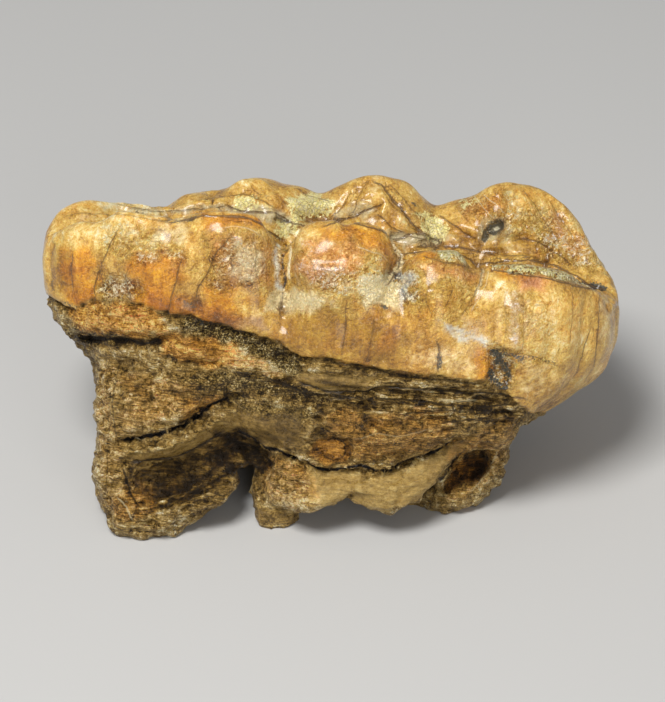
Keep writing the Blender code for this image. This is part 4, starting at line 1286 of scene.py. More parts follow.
@dataclass(frozen=True)
class Painting:
    """The tooth's stains, tones and fine lines as drawn on its sides; widths are in millimetres."""

    # mask, soft edge, strength: outline
    # the cream patches on the rims and bulges are partly painted highlights
    # the patch low on the mesial lobe, with the streak over it, is a painted bluish sheen
    enamel_patches: Sheet = """
    amber 0.7 1.0: -21.1 7.8, -19.7 8.1, -18.8 7.4, -18.1 6.3, -18.5 3.9, -19.5 3.6, -20.6 3.8, -21.2 5.8
    amber 0.7 1.0: -15.8 6.6, -14.1 6.9, -12.1 6.7, -11.5 5.8, -12 3.6, -14.1 3.3, -15.5 3.8, -16.1 5.2
    amber 0.6 0.9: -9.9 5, -7.5 5.2, -7.2 3.2, -9 2.6, -10.4 3, -10.6 3.9
    amber 0.35 1.0: -10.3 10.5, -7.6 10.6, -5.1 10.2, -4.4 9.4, -6.4 9.7, -9.9 9.4
    amber 0.4 0.9: -0.8 9.5, 1.5 9.7, 3.7 9.3, 4.6 8.1, 4.3 6.9, 3.4 7.8, 1.4 8.6, -0.7 8.7
    amber 0.3 1.0: 5.5 7.8, 7.7 7.9, 7.9 7.3, 5.6 7
    amber 0.35 0.8: 11.6 6.7, 14.5 6.4, 15.3 5.5, 12.8 5.6
    amber 0.3 1.0: 11.1 0.1, 12.2 0.1, 12.2 -2.4, 10.9 -2.2
    amber 0.6 0.5: 17.8 4.7, 19.5 4.4, 19.3 1.2, 17.8 1.5
    amber 0.6 1.0: -14.3 4.4, -10.6 3.9, -6.8 3, -7.3 1.9, -10.6 2.2, -14 2.7
    amber 1.0 0.34: 14.5 4.9, 18.8 4.4, 18.7 0.7, 14.7 0.4
    amber 0.7 0.6: 6.8 4.3, 9.2 4.6, 9.6 3, 7.1 2.6
    amber 0.5 0.6: 3.7 2.6, 4.9 1.6, 4.6 -0.4, 3.5 0.1
    amber 0.5 0.4: 13.3 13.1, 16.9 13.1, 18.1 11.7, 17.1 11.7, 14.9 12.3
    amber 0.3 0.5: -21.6 11.8, -18.5 12, -17.8 11.2, -20.8 11.3
    honey 0.5 0.7: -22.2 8.1, -21.2 8.9, -20.6 7.8, -20.8 3.9, -21.7 4.3
    honey 0.8 0.75: -6.8 1.9, -2.8 2.6, 1.5 3.3, 4.9 3, 5.5 -1.2, -0.2 -0.9, -4.1 0.1
    honey 0.6 0.6: -14.1 4.4, -10.6 3.9, -6.8 3.3, -7.2 1.9, -10.6 2.6, -13.7 2.9
    honey 0.7 0.4: 5.4 1.9, 8.3 2.2, 8.8 0.1, 5.5 -0.1
    honey 0.4 0.8: -20.3 5.2, -18.3 4.9, -18.8 3.6, -20.3 3.8
    honey 0.5 0.6: 15.3 -3.5, 18.1 -2.2, 20.4 -0.7, 19.8 -2.6, 17.3 -4.6
    rose 0.7 0.9: -2.1 8.6, 1.2 8.7, 2.6 7.8, 1.4 5.8, -1.6 5.2, -3 6.6
    rose 0.4 0.9: 7.9 6.9, 11.4 6.1, 10.9 5.2, 8 5.8, 5.5 6.9
    rose 0.35 1.0: 14.4 5.8, 16.7 5.5, 16.5 4.6, 14.4 4.7
    rose 0.4 0.7: 2.1 8.6, 4.6 7.8, 5.1 6.9, 4.1 6.1
    rose 0.4 0.7: -15.2 7.7, -11.3 7.7, -11.3 6.4, -15.1 6.3
    rose 0.5 0.5: -9.5 9.2, -5.5 8.9, -5.3 6.9, -9.2 6.9
    rose 0.9 0.6: -9.2 7.8, -7.2 8.6, -4.8 7.8, -4.5 5.8, -6.8 4.7, -9 5.8
    rose 0.6 0.7: 9.5 12.1, 13.3 12.3, 13.3 11, 10.3 10.1
    rose 0.7 0.6: 16.5 12, 18.1 11.5, 20.4 8.3, 19.6 7.1, 18.1 8
    mauve 0.25 0.9: 14.7 5.6, 16.1 5.5, 15.9 4.7, 14.7 4.9
    mauve 1.0 0.42: -9.6 8.6, -7.5 9.1, -4.7 8.4, -4.1 6.9, -4.8 5, -7.5 4.7, -9.6 6.4
    mauve 0.3 0.9: -10.3 2.7, -5.5 2.6, -5.3 1.5, -9.9 1.7
    mauve 0.5 0.6: 13.3 4.7, 14.6 4.6, 14.7 -0.1, 13.2 0.1
    mauve 0.6 0.8: -17.1 6, -15.7 5.9, -14.9 4.9, -15.8 4, -17.1 4.4
    mauve 0.5 0.5: -2.5 6.9, 0.7 6.4, 0.9 4.6, -2.5 4.7
    mauve 0.7 0.5: 16.3 11.3, 18.5 10.7, 19 8.5, 16.8 9.1
    cream 0.6 0.75: -14.4 9.8, -11 9.9, -10.7 8.4, -14.1 8.1
    cream 0.35 0.5: -20.9 11.1, -18 10.9, -14.7 10.6, -14.7 10, -20.3 10.1
    cream 0.35 0.7: -21.3 12, -18.5 12.2, -15.3 11.5, -12.4 11.3, -12.4 10.9, -15.3 11, -18.8 11.5
    cream 0.5 0.5: -17.7 10, -14.4 9.7, -14.7 7.8, -17.4 8.1
    cream 0.5 0.7: -7.5 8.6, -5 7.8, -5.8 5.2, -7.5 5.2, -7.9 6.9
    cream 0.5 0.9: -5 4.9, -2.5 4.7, 0.1 4.3, -0.5 2.7, -5.5 3
    cream 0.4 1.0: 1.5 5.8, 4.6 5.8, 5.5 3.9, 4.9 3, 2.1 3.6
    cream 1.0 0.5: 14.2 -0.9, 17.6 -1, 18.2 -2.6, 16.5 -3.9, 14.4 -3.5
    cream 0.5 0.7: 20.7 4.7, 21.9 3.9, 21.8 1.2, 20.7 0.4
    cream 0.5 0.5: 5.7 0.9, 8.3 0.7, 10.9 -0.1, 10.9 -1.9, 6 -1.3
    cream 0.5 0.4: 11.9 5.3, 13.9 5.2, 13.4 1.6, 11.9 0.9
    cream 0.4 0.4: 12 8.8, 15.5 8.5, 15.2 7.5, 11.9 7.9
    cream 0.5 0.5: 1.9 13.7, 4.1 13.9, 4.2 12.8, 2.2 11.8
    cream 0.4 0.8: -2.9 12.9, -1.6 12.3, -1.8 11.5, -2.9 12
    grain 0.9 0.55: -9.5 8.1, -7.6 8.9, -5.5 8.6, -4.8 6.9, -5.8 5.2, -8.4 4.7, -9.8 6.4
    grain 0.9 0.55: -2.5 6.9, 0.6 6.9, 5.4 6.9, 5.4 3.8, 0.9 3.9, -2.5 4.7
    grain 0.4 1.0: 4.8 6.1, 6.3 6.1, 6.6 3.5, 4.9 3.6
    grain 0.8 0.4: -5.3 4.9, 0.1 4.7, 0 2.7, -5.5 3
    grain 0.6 0.9: -18.1 4.7, -17.7 5.6, -16.4 5.9, -15.4 5.4, -15 4.6, -16 3.9, -17.4 3.9
    grain 0.4 0.6: -15.2 7.7, -11.5 7.8, -11.3 6.9, -15.1 6.6
    grain 0.4 0.8: 11.7 0.2, 13.3 0.1, 13.9 -1.2, 13.6 -2.7, 11.9 -2.7
    grain 0.5 0.3: 13.4 0.1, 17.6 -0.1, 17.8 -1, 13.9 -1.6
    grain 1.0 0.26: -9.8 8.9, -4.1 8.6, 5.2 8.6, 11.4 6.9, 11.3 2.4, 5.2 2.6, -2.5 3.2, -9.5 4.7
    grain 0.6 0.34: -17.7 10, -14.4 9.7, -11.5 8.6, -11.5 6.9, -15.1 6.6, -17.7 7.4
    grain 0.7 0.42: 9.5 12.1, 13.8 12.3, 17.7 11.5, 20.9 8.8, 21.7 6, 18.8 7.1, 15.7 8.8, 11.7 10.1
    grain 0.25 0.9: 12.2 6.7, 14.5 6.9, 16.4 6.6, 19.2 6, 20.7 5.2, 20.2 4.8, 17.6 5.5, 14.5 6, 12.3 6.3
    grain 0.25 0.9: 7.9 7.9, 9.1 8, 10.9 7.4, 11.5 6.7, 10.6 6.6, 9.1 6.9, 7.9 7
    grain 1.0 0.22: 8.3 6.9, 10.6 6.4, 10.3 1.6, 6.8 1.6, 6 3.9
    grain 0.9 0.24: 13 4.7, 17.6 4.3, 17.3 0.4, 13 0.4
    grain 0.6 0.6: 15.7 10.4, 18.8 9.6, 21.5 6.7, 20.4 6, 16.5 8
    frost 0.7 0.75: 7.5 2.6, 9.1 2.1, 10.6 1.8, 12.2 1, 11.9 0.2, 10 0.4, 8.6 1.2
    frost 0.3 0.8: 5.1 6.1, 6.2 6, 6.2 3.6, 5.1 3.8
    frost 0.35 0.4: -6.4 1.5, -2.5 0.2, -2.7 -0.7, -6.4 0.7
    frost 0.25 0.8: -4.5 8.4, -4.1 8.4, -3.8 4.7, -4.4 4.3
    yellow 0.22 0.62: 7.9 7.8, 9.1 7.9, 10.9 7.4, 11.4 6.8, 10.6 6.7, 9.1 7, 7.9 7.1
    yellow 0.22 0.62: 12.2 6.7, 14.5 6.8, 16.4 6.5, 19.2 5.9, 20.5 5.2, 19.9 5, 17.6 5.6, 14.5 6, 12.3 6.3
    yellow 0.4 1.0: -7.7 12.3, -6.2 12.3, -6.2 11.3, -7.5 11.3
    yellow 0.4 1.0: -3.4 12.1, -1 12.5, 0.1 11.8, -0.5 10.9, -2.9 10.2
    yellow 0.4 1.0: 6.6 10.9, 7.9 11, 9.3 9.9, 9 8.8, 7.7 9
    yellow 0.4 0.5: 10.3 12.3, 11.7 12.6, 11.4 11.8, 10.3 11.2
    yellow 0.3 0.8: -4.6 10.2, -2.6 10.2, -2.6 9.6, -4.2 9
    olive 0.3 0.9: -18.5 11.8, -13.7 11.3, -10 11.7, -7.3 11.8, -4.5 11.5, -2.6 10.7, -1.3 9.8, -4.8 10.2,
        -9.4 11, -13.7 10.7, -18.1 11
    olive 0.4 0.7: 0.1 11.5, 1.5 12.3, 3.8 11.3, 3.1 10.2, 0.4 10.1
    olive 0.4 1.0: 3.3 9.9, 5.7 9.6, 8.8 9.4, 10.4 9, 8.5 8.5, 6.2 8.3, 4.6 8.8
    olive 0.3 0.7: 11.5 10.6, 14.2 10.9, 14.4 8.7, 11.5 8.5
    olive 0.4 0.5: 4.7 12.1, 6.2 10.7, 7.7 9.1, 6.9 8.8, 5 10.7
    """
    # the same for the root
    root_patches: Sheet = """
    soot 0.25 1.0: -11.2 2.6, -8.3 2.1, -5.5 1, -2.4 -0.7, -2.5 -1.8, -3.3 -1.9, -4.1 -1.2, -5.5 -0.4,
        -7.2 0.5, -9.6 1.2, -11.6 1.6
    soot 0.35 0.8: -21.1 1.8, -18 1.3, -15.8 1.2, -16.1 0.7, -19.5 0.5, -20.6 1.2
    soot 0.5 0.7: -7.5 -1.6, -2.5 -2.9, 0.6 -3.3, -1 -3.9, -6.4 -3, -11 -2.7, -11.8 -2.1
    soot 0.5 0.6: -8.2 -3.5, -7.2 -3.2, -6.4 -4.1, -2.5 -4.1, -0.2 -4.7, -2.5 -5.6, -7.2 -4.6
    fibre 0.5 1.0: -2.5 -1.8, 3.7 -1.9, 11.4 -2.7, 16.1 -4.1, 14.5 -5.8, 7.5 -5.6, -1 -4.1
    fibre 0.5 0.7: -18.5 -0.7, -16.9 -0.9, -16.4 -6.9, -16.6 -12.3, -18.3 -12.5
    fibre 0.5 0.8: -15.7 -8.6, -12 -8.1, -8.6 -6.4, -7 -7, -6.8 -9.5, -9.2 -11.5, -12.1 -13.2, -14.9 -13.2,
        -16.4 -11.5
    fibre 0.4 0.7: -16.4 -11.9, -11.8 -12.7, -7.2 -10.4, -6.7 -10.9, -11 -13.1, -14.9 -14.5, -17.2 -13.5
    rust 0.5 0.9: -13.7 1.5, -10.3 1.2, -7.5 0.7, -7.3 -1.2, -9.5 -1.3, -13.3 -0.4
    rust 0.3 0.6: -7.9 0.7, -6.4 -0.1, -5 -0.9, -3.6 -1.8, -4.2 -2.2, -6.1 -1.6, -7.9 -1.2
    rust 0.3 1.0: 9.1 -9.8, 9.9 -8.7, 10.8 -8.2, 11.7 -8.5, 12.3 -9, 12 -9.7, 11.1 -10.3, 10.2 -10.4,
        9.2 -11.1, 8.8 -10.9
    rust 0.5 1.0: -21.1 3.9, -14.1 3.8, -12.4 1.6, -14.9 1, -19.7 1.3
    rust 0.5 0.3: -15.7 -8.6, -12 -8.2, -8.6 -6.3, -7 -6.9, -6.7 -9.2, -8.6 -10.6, -11.8 -12.1, -14.1 -12.3,
        -15.8 -11.1
    rust 0.5 0.4: -18.5 -0.7, -16.9 -0.9, -16.1 -6.9, -16.3 -12.3, -18.3 -12.5
    rust 0.6 0.6: -15.4 -9.2, -13.3 -11.5, -14.1 -13.1, -17.1 -13.7, -17.7 -11.5
    rust 0.6 0.5: -5.8 -8.3, -2.5 -8.4, -1 -10, -1 -12.5, -3.3 -12.5, -5.5 -11.4
    rust 0.6 0.5: 9.2 -6.9, 14.5 -4.7, 14.7 -6.9, 13.9 -8.7, 11.9 -10.9, 9.2 -12.6
    rust 0.7 0.55: -1.1 -4.1, 3.7 -4.6, 8.3 -4.1, 10 -6.1, 8 -7.7, 5.2 -8.4, 0.6 -8.9, -0.8 -6.9
    rust 0.4 1.0: -1.1 -6.6, 1.2 -6.7, 1.4 -8.4, -0.8 -8.9, -2.1 -7.8
    rust 0.8 0.5: -17.2 -1.6, -10.3 -2.2, -9.2 -3.8, -11.8 -5.3, -16.4 -6.6
    rust 0.4 0.7: -11.8 -3.5, -8.2 -3.2, -9.2 -4.6, -11.8 -5.6
    """
    # mask, half width, strength: line
    # a painted bluish sheen along the mesial lobe's foot
    streaks: Sheet = """
    amber 0.25 0.6: 18.5 4.6, 18.5 2.6, 18.3 0.7
    cream 0.22 1.0: -4.3 8.6, -4.1 7.4, -4.4 5.8
    cream 0.22 0.9: -3.2 8.3, -3.3 6.9, -3.4 5.5
    cream 0.2 1.0: 4.1 9.1, 4.8 8.3, 5.5 7.5, 5.3 6.7, 4.8 5.8
    cream 0.18 1.0: 11.6 6.6, 11.5 5.5, 10.9 4.1
    cream 0.16 1.0: 5.1 6.9, 4.6 5.8, 3.8 4.9
    frost 0.3 0.8: 8.5 1.9, 9.7 1.6, 11.1 0.9, 12 0.4
    vein 0.26 0.6: -14.1 10.6, -12.7 10.3, -11.8 10, -10.8 10.2, -10 10.6
    vein 0.36 0.8: -4.6 10.7, -4 10.4, -3.4 10.2
    vein 0.22 0.7: -14.1 10.2, -12.9 9.9, -11.5 9.9, -10.3 10.2
    vein 0.28 0.8: 0.6 9.8, 1.9 9.8
    vein 0.24 1.0: 6.5 11.8, 6.6 11.7
    vein 0.3 1.0: 19.6 5.4, 20.4 5, 21.4 4.7
    vein 0.46 0.9: 11.9 8.8, 12.3 9.3, 12.9 9.7
    vein 0.84 1.0: 12.6 9.4, 13.1 9.8, 13.7 10.2
    soot 0.2 0.6: 13.4 -0.2, 15.3 -0.5, 17.4 -0.9
    soot 0.26 0.8: 8 -0.2, 8.3 -0.7, 8.2 -1.5
    soot 0.42 0.9: 12.1 0.1, 12.9 -0.4, 12.6 -1.2
    soot 0.46 0.85: 12.3 -1.2, 12 -1.9, 12.7 -2.6, 13.6 -2.9
    soot 0.44 0.8: 12.9 -0.7, 13.4 -1.5, 13.7 -2.4
    soot 0.3 0.7: 13 -0.1, 14 -0.4, 14.8 -0.7
    soot 0.22 0.7: -11.5 3.9, -10.9 3.6, -10.4 3.2
    soot 0.18 0.9: 3.8 3.5, 4.1 3.3
    soot 0.22 0.6: -22 5.3, -21.8 4.7
    soot 0.34 1.0: 19.5 5.4, 20.1 5.2, 20.7 5, 21.5 4.7
    soot 0.52 1.0: 20.2 5.2, 20.9 5, 21.6 4.8
    soot 0.25 0.6: -21.1 3.9, -20.2 3.5, -18.8 3.5
    """
    # soft edge, how much lighter: outline
    tones: Sheet = """
    # the rough band under the distal lobe, and the root below it
    0.8 0.08: -22.3 10.4, -20.3 11.4, -17.2 10.9, -16.4 8.6, -18.3 6.9, -21.1 6.9, -22.3 7.8
    0.5 0.2: -22.6 11, -21.6 12.1, -18.5 12.5, -14.5 11.8, -14.5 11.2, -19.2 11.3
    0.5 -0.18: -14.4 4.3, -10.3 4.1, -6.8 2.6, -7.2 1.6, -10.3 2.4, -14.1 3
    0.5 -0.06: -21.1 6.3, -20.2 6.9, -19.7 3.9, -20.9 4.3
    0.4 0.1: -22.3 11.5, -18.5 12.1, -14.5 11.7, -12.4 11, -15.3 10.7, -21.6 10.9
    0.8 0.06: -22 10.6, -14.9 10.6, -10.3 9.8, -5.5 9.5, -4.8 7.8, -10.3 7.8, -21.1 6.9, -22.2 7.8
    0.8 0.05: 13 5.5, 17.6 4.9, 19.9 3.9, 19.5 0.1, 13 0.1
    0.8 0.05: -2.5 8.9, 3.7 8.7, 4.6 6.9, 3.7 3.9, -2.5 4.7
    0.6 0.13: 13.3 12.3, 18.1 12, 20.9 8.5, 19.6 7.1, 15.7 8.8
    0.6 0.07: 1.4 5.8, 4.9 5.6, 5.2 3.3, 1.8 3.5
    0.8 0.14: 12.7 5.2, 17.6 4.7, 19.9 3.9, 19.5 0.1, 13 0.1
    0.5 0.12: -5.3 4.9, 0.1 4.6, -0.2 2.7, -5.5 3
    0.4 0.1: -3.4 12.5, 0 12.5, 0.1 10.9, -3.4 10.4
    0.3 0.08: -7.7 12.5, -6.1 12.5, -6.1 11.3, -7.7 11.3
    0.6 0.05: -2.5 8.6, 1.4 8.9, 3.1 7.4, 1.5 5.8, -2.1 5.5
    0.4 -0.08: 10.9 8.8, 15.7 8.5, 15.4 7.4, 10.9 7.5
    0.7 -0.08: -4.1 2.6, 4.9 2.7, 5.2 -0.9, -0.2 -0.7, -5.5 0.4
    0.5 -0.05: -16.1 6.6, -11.8 6.7, -11.8 3.6, -15.8 3.8
    0.5 0.1: 1.7 5.6, 4.9 5.6, 5.2 3.8, 2.3 3.6
    0.6 0.07: 5.5 7, 8.3 7.2, 8.8 5.2, 5.8 4.9
    0.5 -0.12: -14.6 10, -10.9 10, -10.7 8.3, -14.1 8.1
    0.4 -0.05: -9.9 10.6, -5.1 10.3, -4.5 9.4, -9.8 9.4
    0.6 -0.05: -9.8 9.2, -5.5 8.9, -4.5 6.9, -5.5 4.7, -9.2 5
    0.6 -0.04: 13 -0.4, 17.6 -0.9, 19.9 -0.9, 17.6 -4.1, 14.5 -3.8
    0.7 0.1: 15.7 1.2, 19.9 1.6, 20.4 -0.1, 17.6 -1.8, 15.7 -1.3
    0.8 0.06: -18.3 10.9, -10.3 10.1, -10.6 6.9, -17.7 7.4
    0.3 0.03: -18.5 12, -13.7 11.5, -10 11.8, -7.3 12, -4.5 11.7, -2.6 10.9, -1.3 9.9, -4.8 10.2, -9.4 10.9,
        -13.7 10.6, -18.1 11
    0.25 0.1: -18.3 11.2, -14.9 10.8, -12.1 10.2, -12.1 10.6, -14.9 11.2
    0.3 -0.12: -14.1 10.6, -12.4 10.1, -11.5 9.8, -10.3 10.1, -11 10.6
    0.5 0.2: -20.9 3.9, -13.3 3.6, -12.1 1.6, -14.1 1.2, -19.5 1.6
    0.3 -0.28: -20.9 1.3, -15.8 1.2, -13.3 0.9, -13.5 0.4, -17.2 0.2, -20.3 0.7
    0.3 0.14: -17.7 0.4, -14.3 0.4, -14.1 -0.2, -17.2 -0.5
    0.4 0.12: -13.3 1, -7.5 0.9, -3.3 -1.6, -4.1 -2.1, -7.5 -1.2, -12.1 -0.4
    0.25 0.16: -9.2 0.7, -7.2 0.2, -5.5 -0.7, -3.4 -1.8, -4.1 -2.2, -6.1 -1.6, -8.7 -0.9
    0.3 -0.12: -10.6 2, -7.2 1.3, -4.8 0.4, -2.5 -0.9, -2.7 -1.6, -4.1 -1, -6.4 0.2, -9.5 1.2
    0.4 0.06: -18.6 -0.7, -16.9 -0.7, -16.8 -6.9, -16.4 -11.5, -18.3 -12.1
    0.7 0.09: -17.2 -1.5, -10.3 -2.1, -9.2 -3.5, -12.1 -5.6, -16.4 -6.6
    0.6 -0.14: -13.3 -1.2, -7.5 -1.8, -7.5 -3.3, -11.8 -3.6
    0.3 -0.04: -11.6 -3.6, -8.2 -3.3, -9.3 -4.4, -11.6 -5.5
    0.4 -0.16: -7.5 -1.8, -1 -3.2, -0.2 -3.9, -2.5 -4.1, -7.2 -3.2
    0.4 -0.17: -7.2 -4.6, -2.2 -4.6, -2.4 -7.2, -5.5 -7.4, -7.3 -6.1
    0.2 -0.06: -15.9 -8.1, -12 -7.5, -8.3 -5.4, -7.2 -4.7, -7.2 -5.6, -8.2 -6.3, -11.8 -8.1, -15.7 -8.7
    0.3 -0.02: -16.3 -6.9, -14.1 -6.9, -14.3 -7.8, -16.3 -8.1
    # the hollow
    0.8 -0.22: -14.1 -8.9, -11 -8.1, -8.6 -6.6, -7 -7, -6.7 -9.1, -8.6 -10.3, -11.3 -11.5, -13.2 -11.5,
        -14 -10.3
    0.5 -0.1: -16 -8.9, -14.3 -8.7, -14 -11.5, -15.7 -11.4
    0.6 -0.16: -10.6 -8.1, -9 -7.2, -7.2 -7.7, -7.5 -9.2, -9.5 -10
    0.6 -0.18: -14 -10.6, -11 -10.4, -7.5 -8.9, -6.7 -10, -8.2 -11.5, -11 -12.6, -13.7 -12.5
    0.35 -0.3: -9.3 -6.3, -6.7 -6.1, -5.5 -7.5, -3.3 -8.6, -5.5 -9.2, -6.8 -8.6
    0.35 -0.2: -6.8 -7.5, -5.5 -8.1, -5 -11.5, -6.1 -11.5, -6.7 -9.7
    0.8 0.02: -17.7 -11.5, -15.4 -12, -13.3 -12.9, -10.4 -12, -7.2 -10.4, -6.7 -10.9, -11 -13.2, -15.5 -14.7,
        -18 -13.5
    # the middle root
    0.5 0.1: -5.8 -8.3, -2.5 -8.4, -1 -10, -1 -12.5, -3.3 -12.5, -5.5 -11.4
    0.25 0.1: -5.5 -11.1, -1 -11.5, -0.2 -12.3, -3.3 -12.7, -5.3 -11.8
    0.3 -0.14: -6.2 -12.1, -2.7 -12.6, -2.8 -13.7, -5.9 -13.5
    0.3 0.03: -1.7 -9.1, 4.3 -9.5, 8.3 -8, 10 -6.9, 8.3 -9.5, 6.8 -11.5, 3.7 -12.6, -0.2 -12.1
    0.6 -0.08: -1.1 -4.1, 8.3 -4.1, 9.1 -6.9, 5.2 -8.3, -0.8 -8.9
    0.3 0.14: -1.1 -6.7, 1 -6.9, 1 -8.4, -1 -8.7
    0.5 0.07: -2.5 -2.1, 3.7 -2.1, 11.4 -2.9, 16.1 -4.1, 14.5 -5.8, 7.5 -5.6, -1 -4.1
    0.3 -0.11: -2.7 -1.6, -0.2 -1.7, 3.1 -2.2, 2.4 -3.1, -0.2 -3.2, -2.5 -2.7
    0.3 0.14: 7.5 -3.2, 11.6 -3.3, 11.7 -4.1, 8.3 -4.1
    0.4 -0.04: 5.2 -1.3, 11.9 -1.8, 14.5 -2.9, 13 -3.2, 6.8 -2.2
    # the mesial root
    0.5 -0.07: 9.2 -6.9, 14.5 -4.7, 14.7 -6.9, 13.9 -8.7, 11.9 -10.9, 9.2 -12.6, 7.1 -12, 8.3 -9.5
    0.3 -0.12: 9.1 -9.8, 9.9 -8.7, 10.8 -8.2, 11.7 -8.5, 12.3 -9, 12 -9.7, 11.1 -10.3, 10.2 -10.4, 9.2 -11.1,
        8.8 -10.9
    0.3 0.1: 13 -6.1, 14.5 -5.6, 14 -8.6, 12 -10.8, 11.9 -10, 13.1 -8.1
    0.5 -0.06: 11.3 -3.8, 15.3 -4.4, 14.5 -5.8, 10.6 -6.3
    0.4 -0.2: 15.3 -3.6, 17.6 -4.1, 16.1 -5, 14.5 -4.9
    """
    # half width, how much lighter: the root's layers and strands
    strands: Sheet = """
    # dark layers between the fibres
    0.22 -0.3: -2.1 -2.1, 0.6 -2.7, 3.7 -2.9, 7.5 -3.5, 11.4 -3.6, 15.3 -4.1
    0.2 -0.26: -1 -3.3, 2.9 -3.8, 6.8 -4.1, 11.4 -4.6, 14.5 -4.9
    0.22 -0.24: -2.5 -3.8, -0.2 -4.3, 2.1 -4.1
    0.22 -0.26: -7.5 -1.8, -5.6 -2.2, -3.3 -2.7, -1 -3.5
    0.2 -0.2: -11 -2.7, -8.7 -2.9, -7.2 -3.3, -6.2 -4.1
    0.22 -0.22: 8.3 -6.1, 11.4 -5.6, 14.5 -5
    0.2 -0.1: -6.5 -6.1, -4.8 -6.6, -2.5 -7
    # pale strands
    0.13 0.22: 6.8 -4.3, 9.2 -4.4, 11.4 -5
    0.13 0.2: -0.2 -5.2, 1 -4.9, 1.8 -5.5
    0.13 0.16: 1.5 -7.4, 3.7 -6.9, 6 -6.6
    0.16 0.1: -16.1 -12.5, -13.5 -11.8, -10.3 -10.4, -7.3 -8.4
    0.16 0.12: -15.8 -13.3, -12.9 -12.6, -9.6 -11.1, -6.8 -9.3
    0.16 -0.12: -16 -12, -13.7 -11.4, -10.6 -10.1, -7.5 -8.1
    0.16 -0.14: -16.3 -12.9, -13.3 -12.3, -9.9 -10.8, -7 -8.7
    0.14 0.14: -17.2 -10, -16.1 -11.5, -15.4 -12.1
    0.2 0.06: -1.7 -9.2, 0 -9.7, 2.2 -9.5, 4.3 -9.8, 6 -9.1, 8.3 -8.1
    0.26 0.34: 8.2 -10.6, 8.9 -9.8, 9.6 -9, 10.3 -8.1
    0.18 0.14: 9.2 -11.5, 10.6 -11.1, 11.9 -10.1
    0.18 0.16: 12.5 -7.5, 13 -8.6, 11.7 -10.3, 10 -11.4
    """
    scatters: tuple[Scatter, ...] = (
        Scatter(Layer.AMBER, (4.5, 4.5, 3.0), 71.3, 0.0, 0.8),
        Scatter(Layer.ROSE, (3.5, 3.5, 2.5), 83.9, 0.0, 0.7),
        Scatter(Layer.CREAM, (3.0, 3.0, 1.6), 97.1, 0.1, 0.55),
        Scatter(Layer.HONEY, (4.0, 4.0, 2.5), 113.7, 0.1, 0.5),
        Scatter(Layer.GRAIN, (3.2, 3.2, 3.0), 131.3, 0.0, 0.5),
        Scatter(Layer.MAUVE, (2.6, 2.6, 2.2), 149.9, 0.25, 0.45),
        Scatter(Layer.RUST, (3.4, 3.4, 2.2), 163.7, 0.0, 0.9),
        Scatter(Layer.FIBRE, (5.0, 5.0, 3.0), 181.1, -0.1, 0.8),
        Scatter(Layer.SMOOTH, (3.4, 3.4, 2.0), 197.3, 0.35, 0.8),
    )
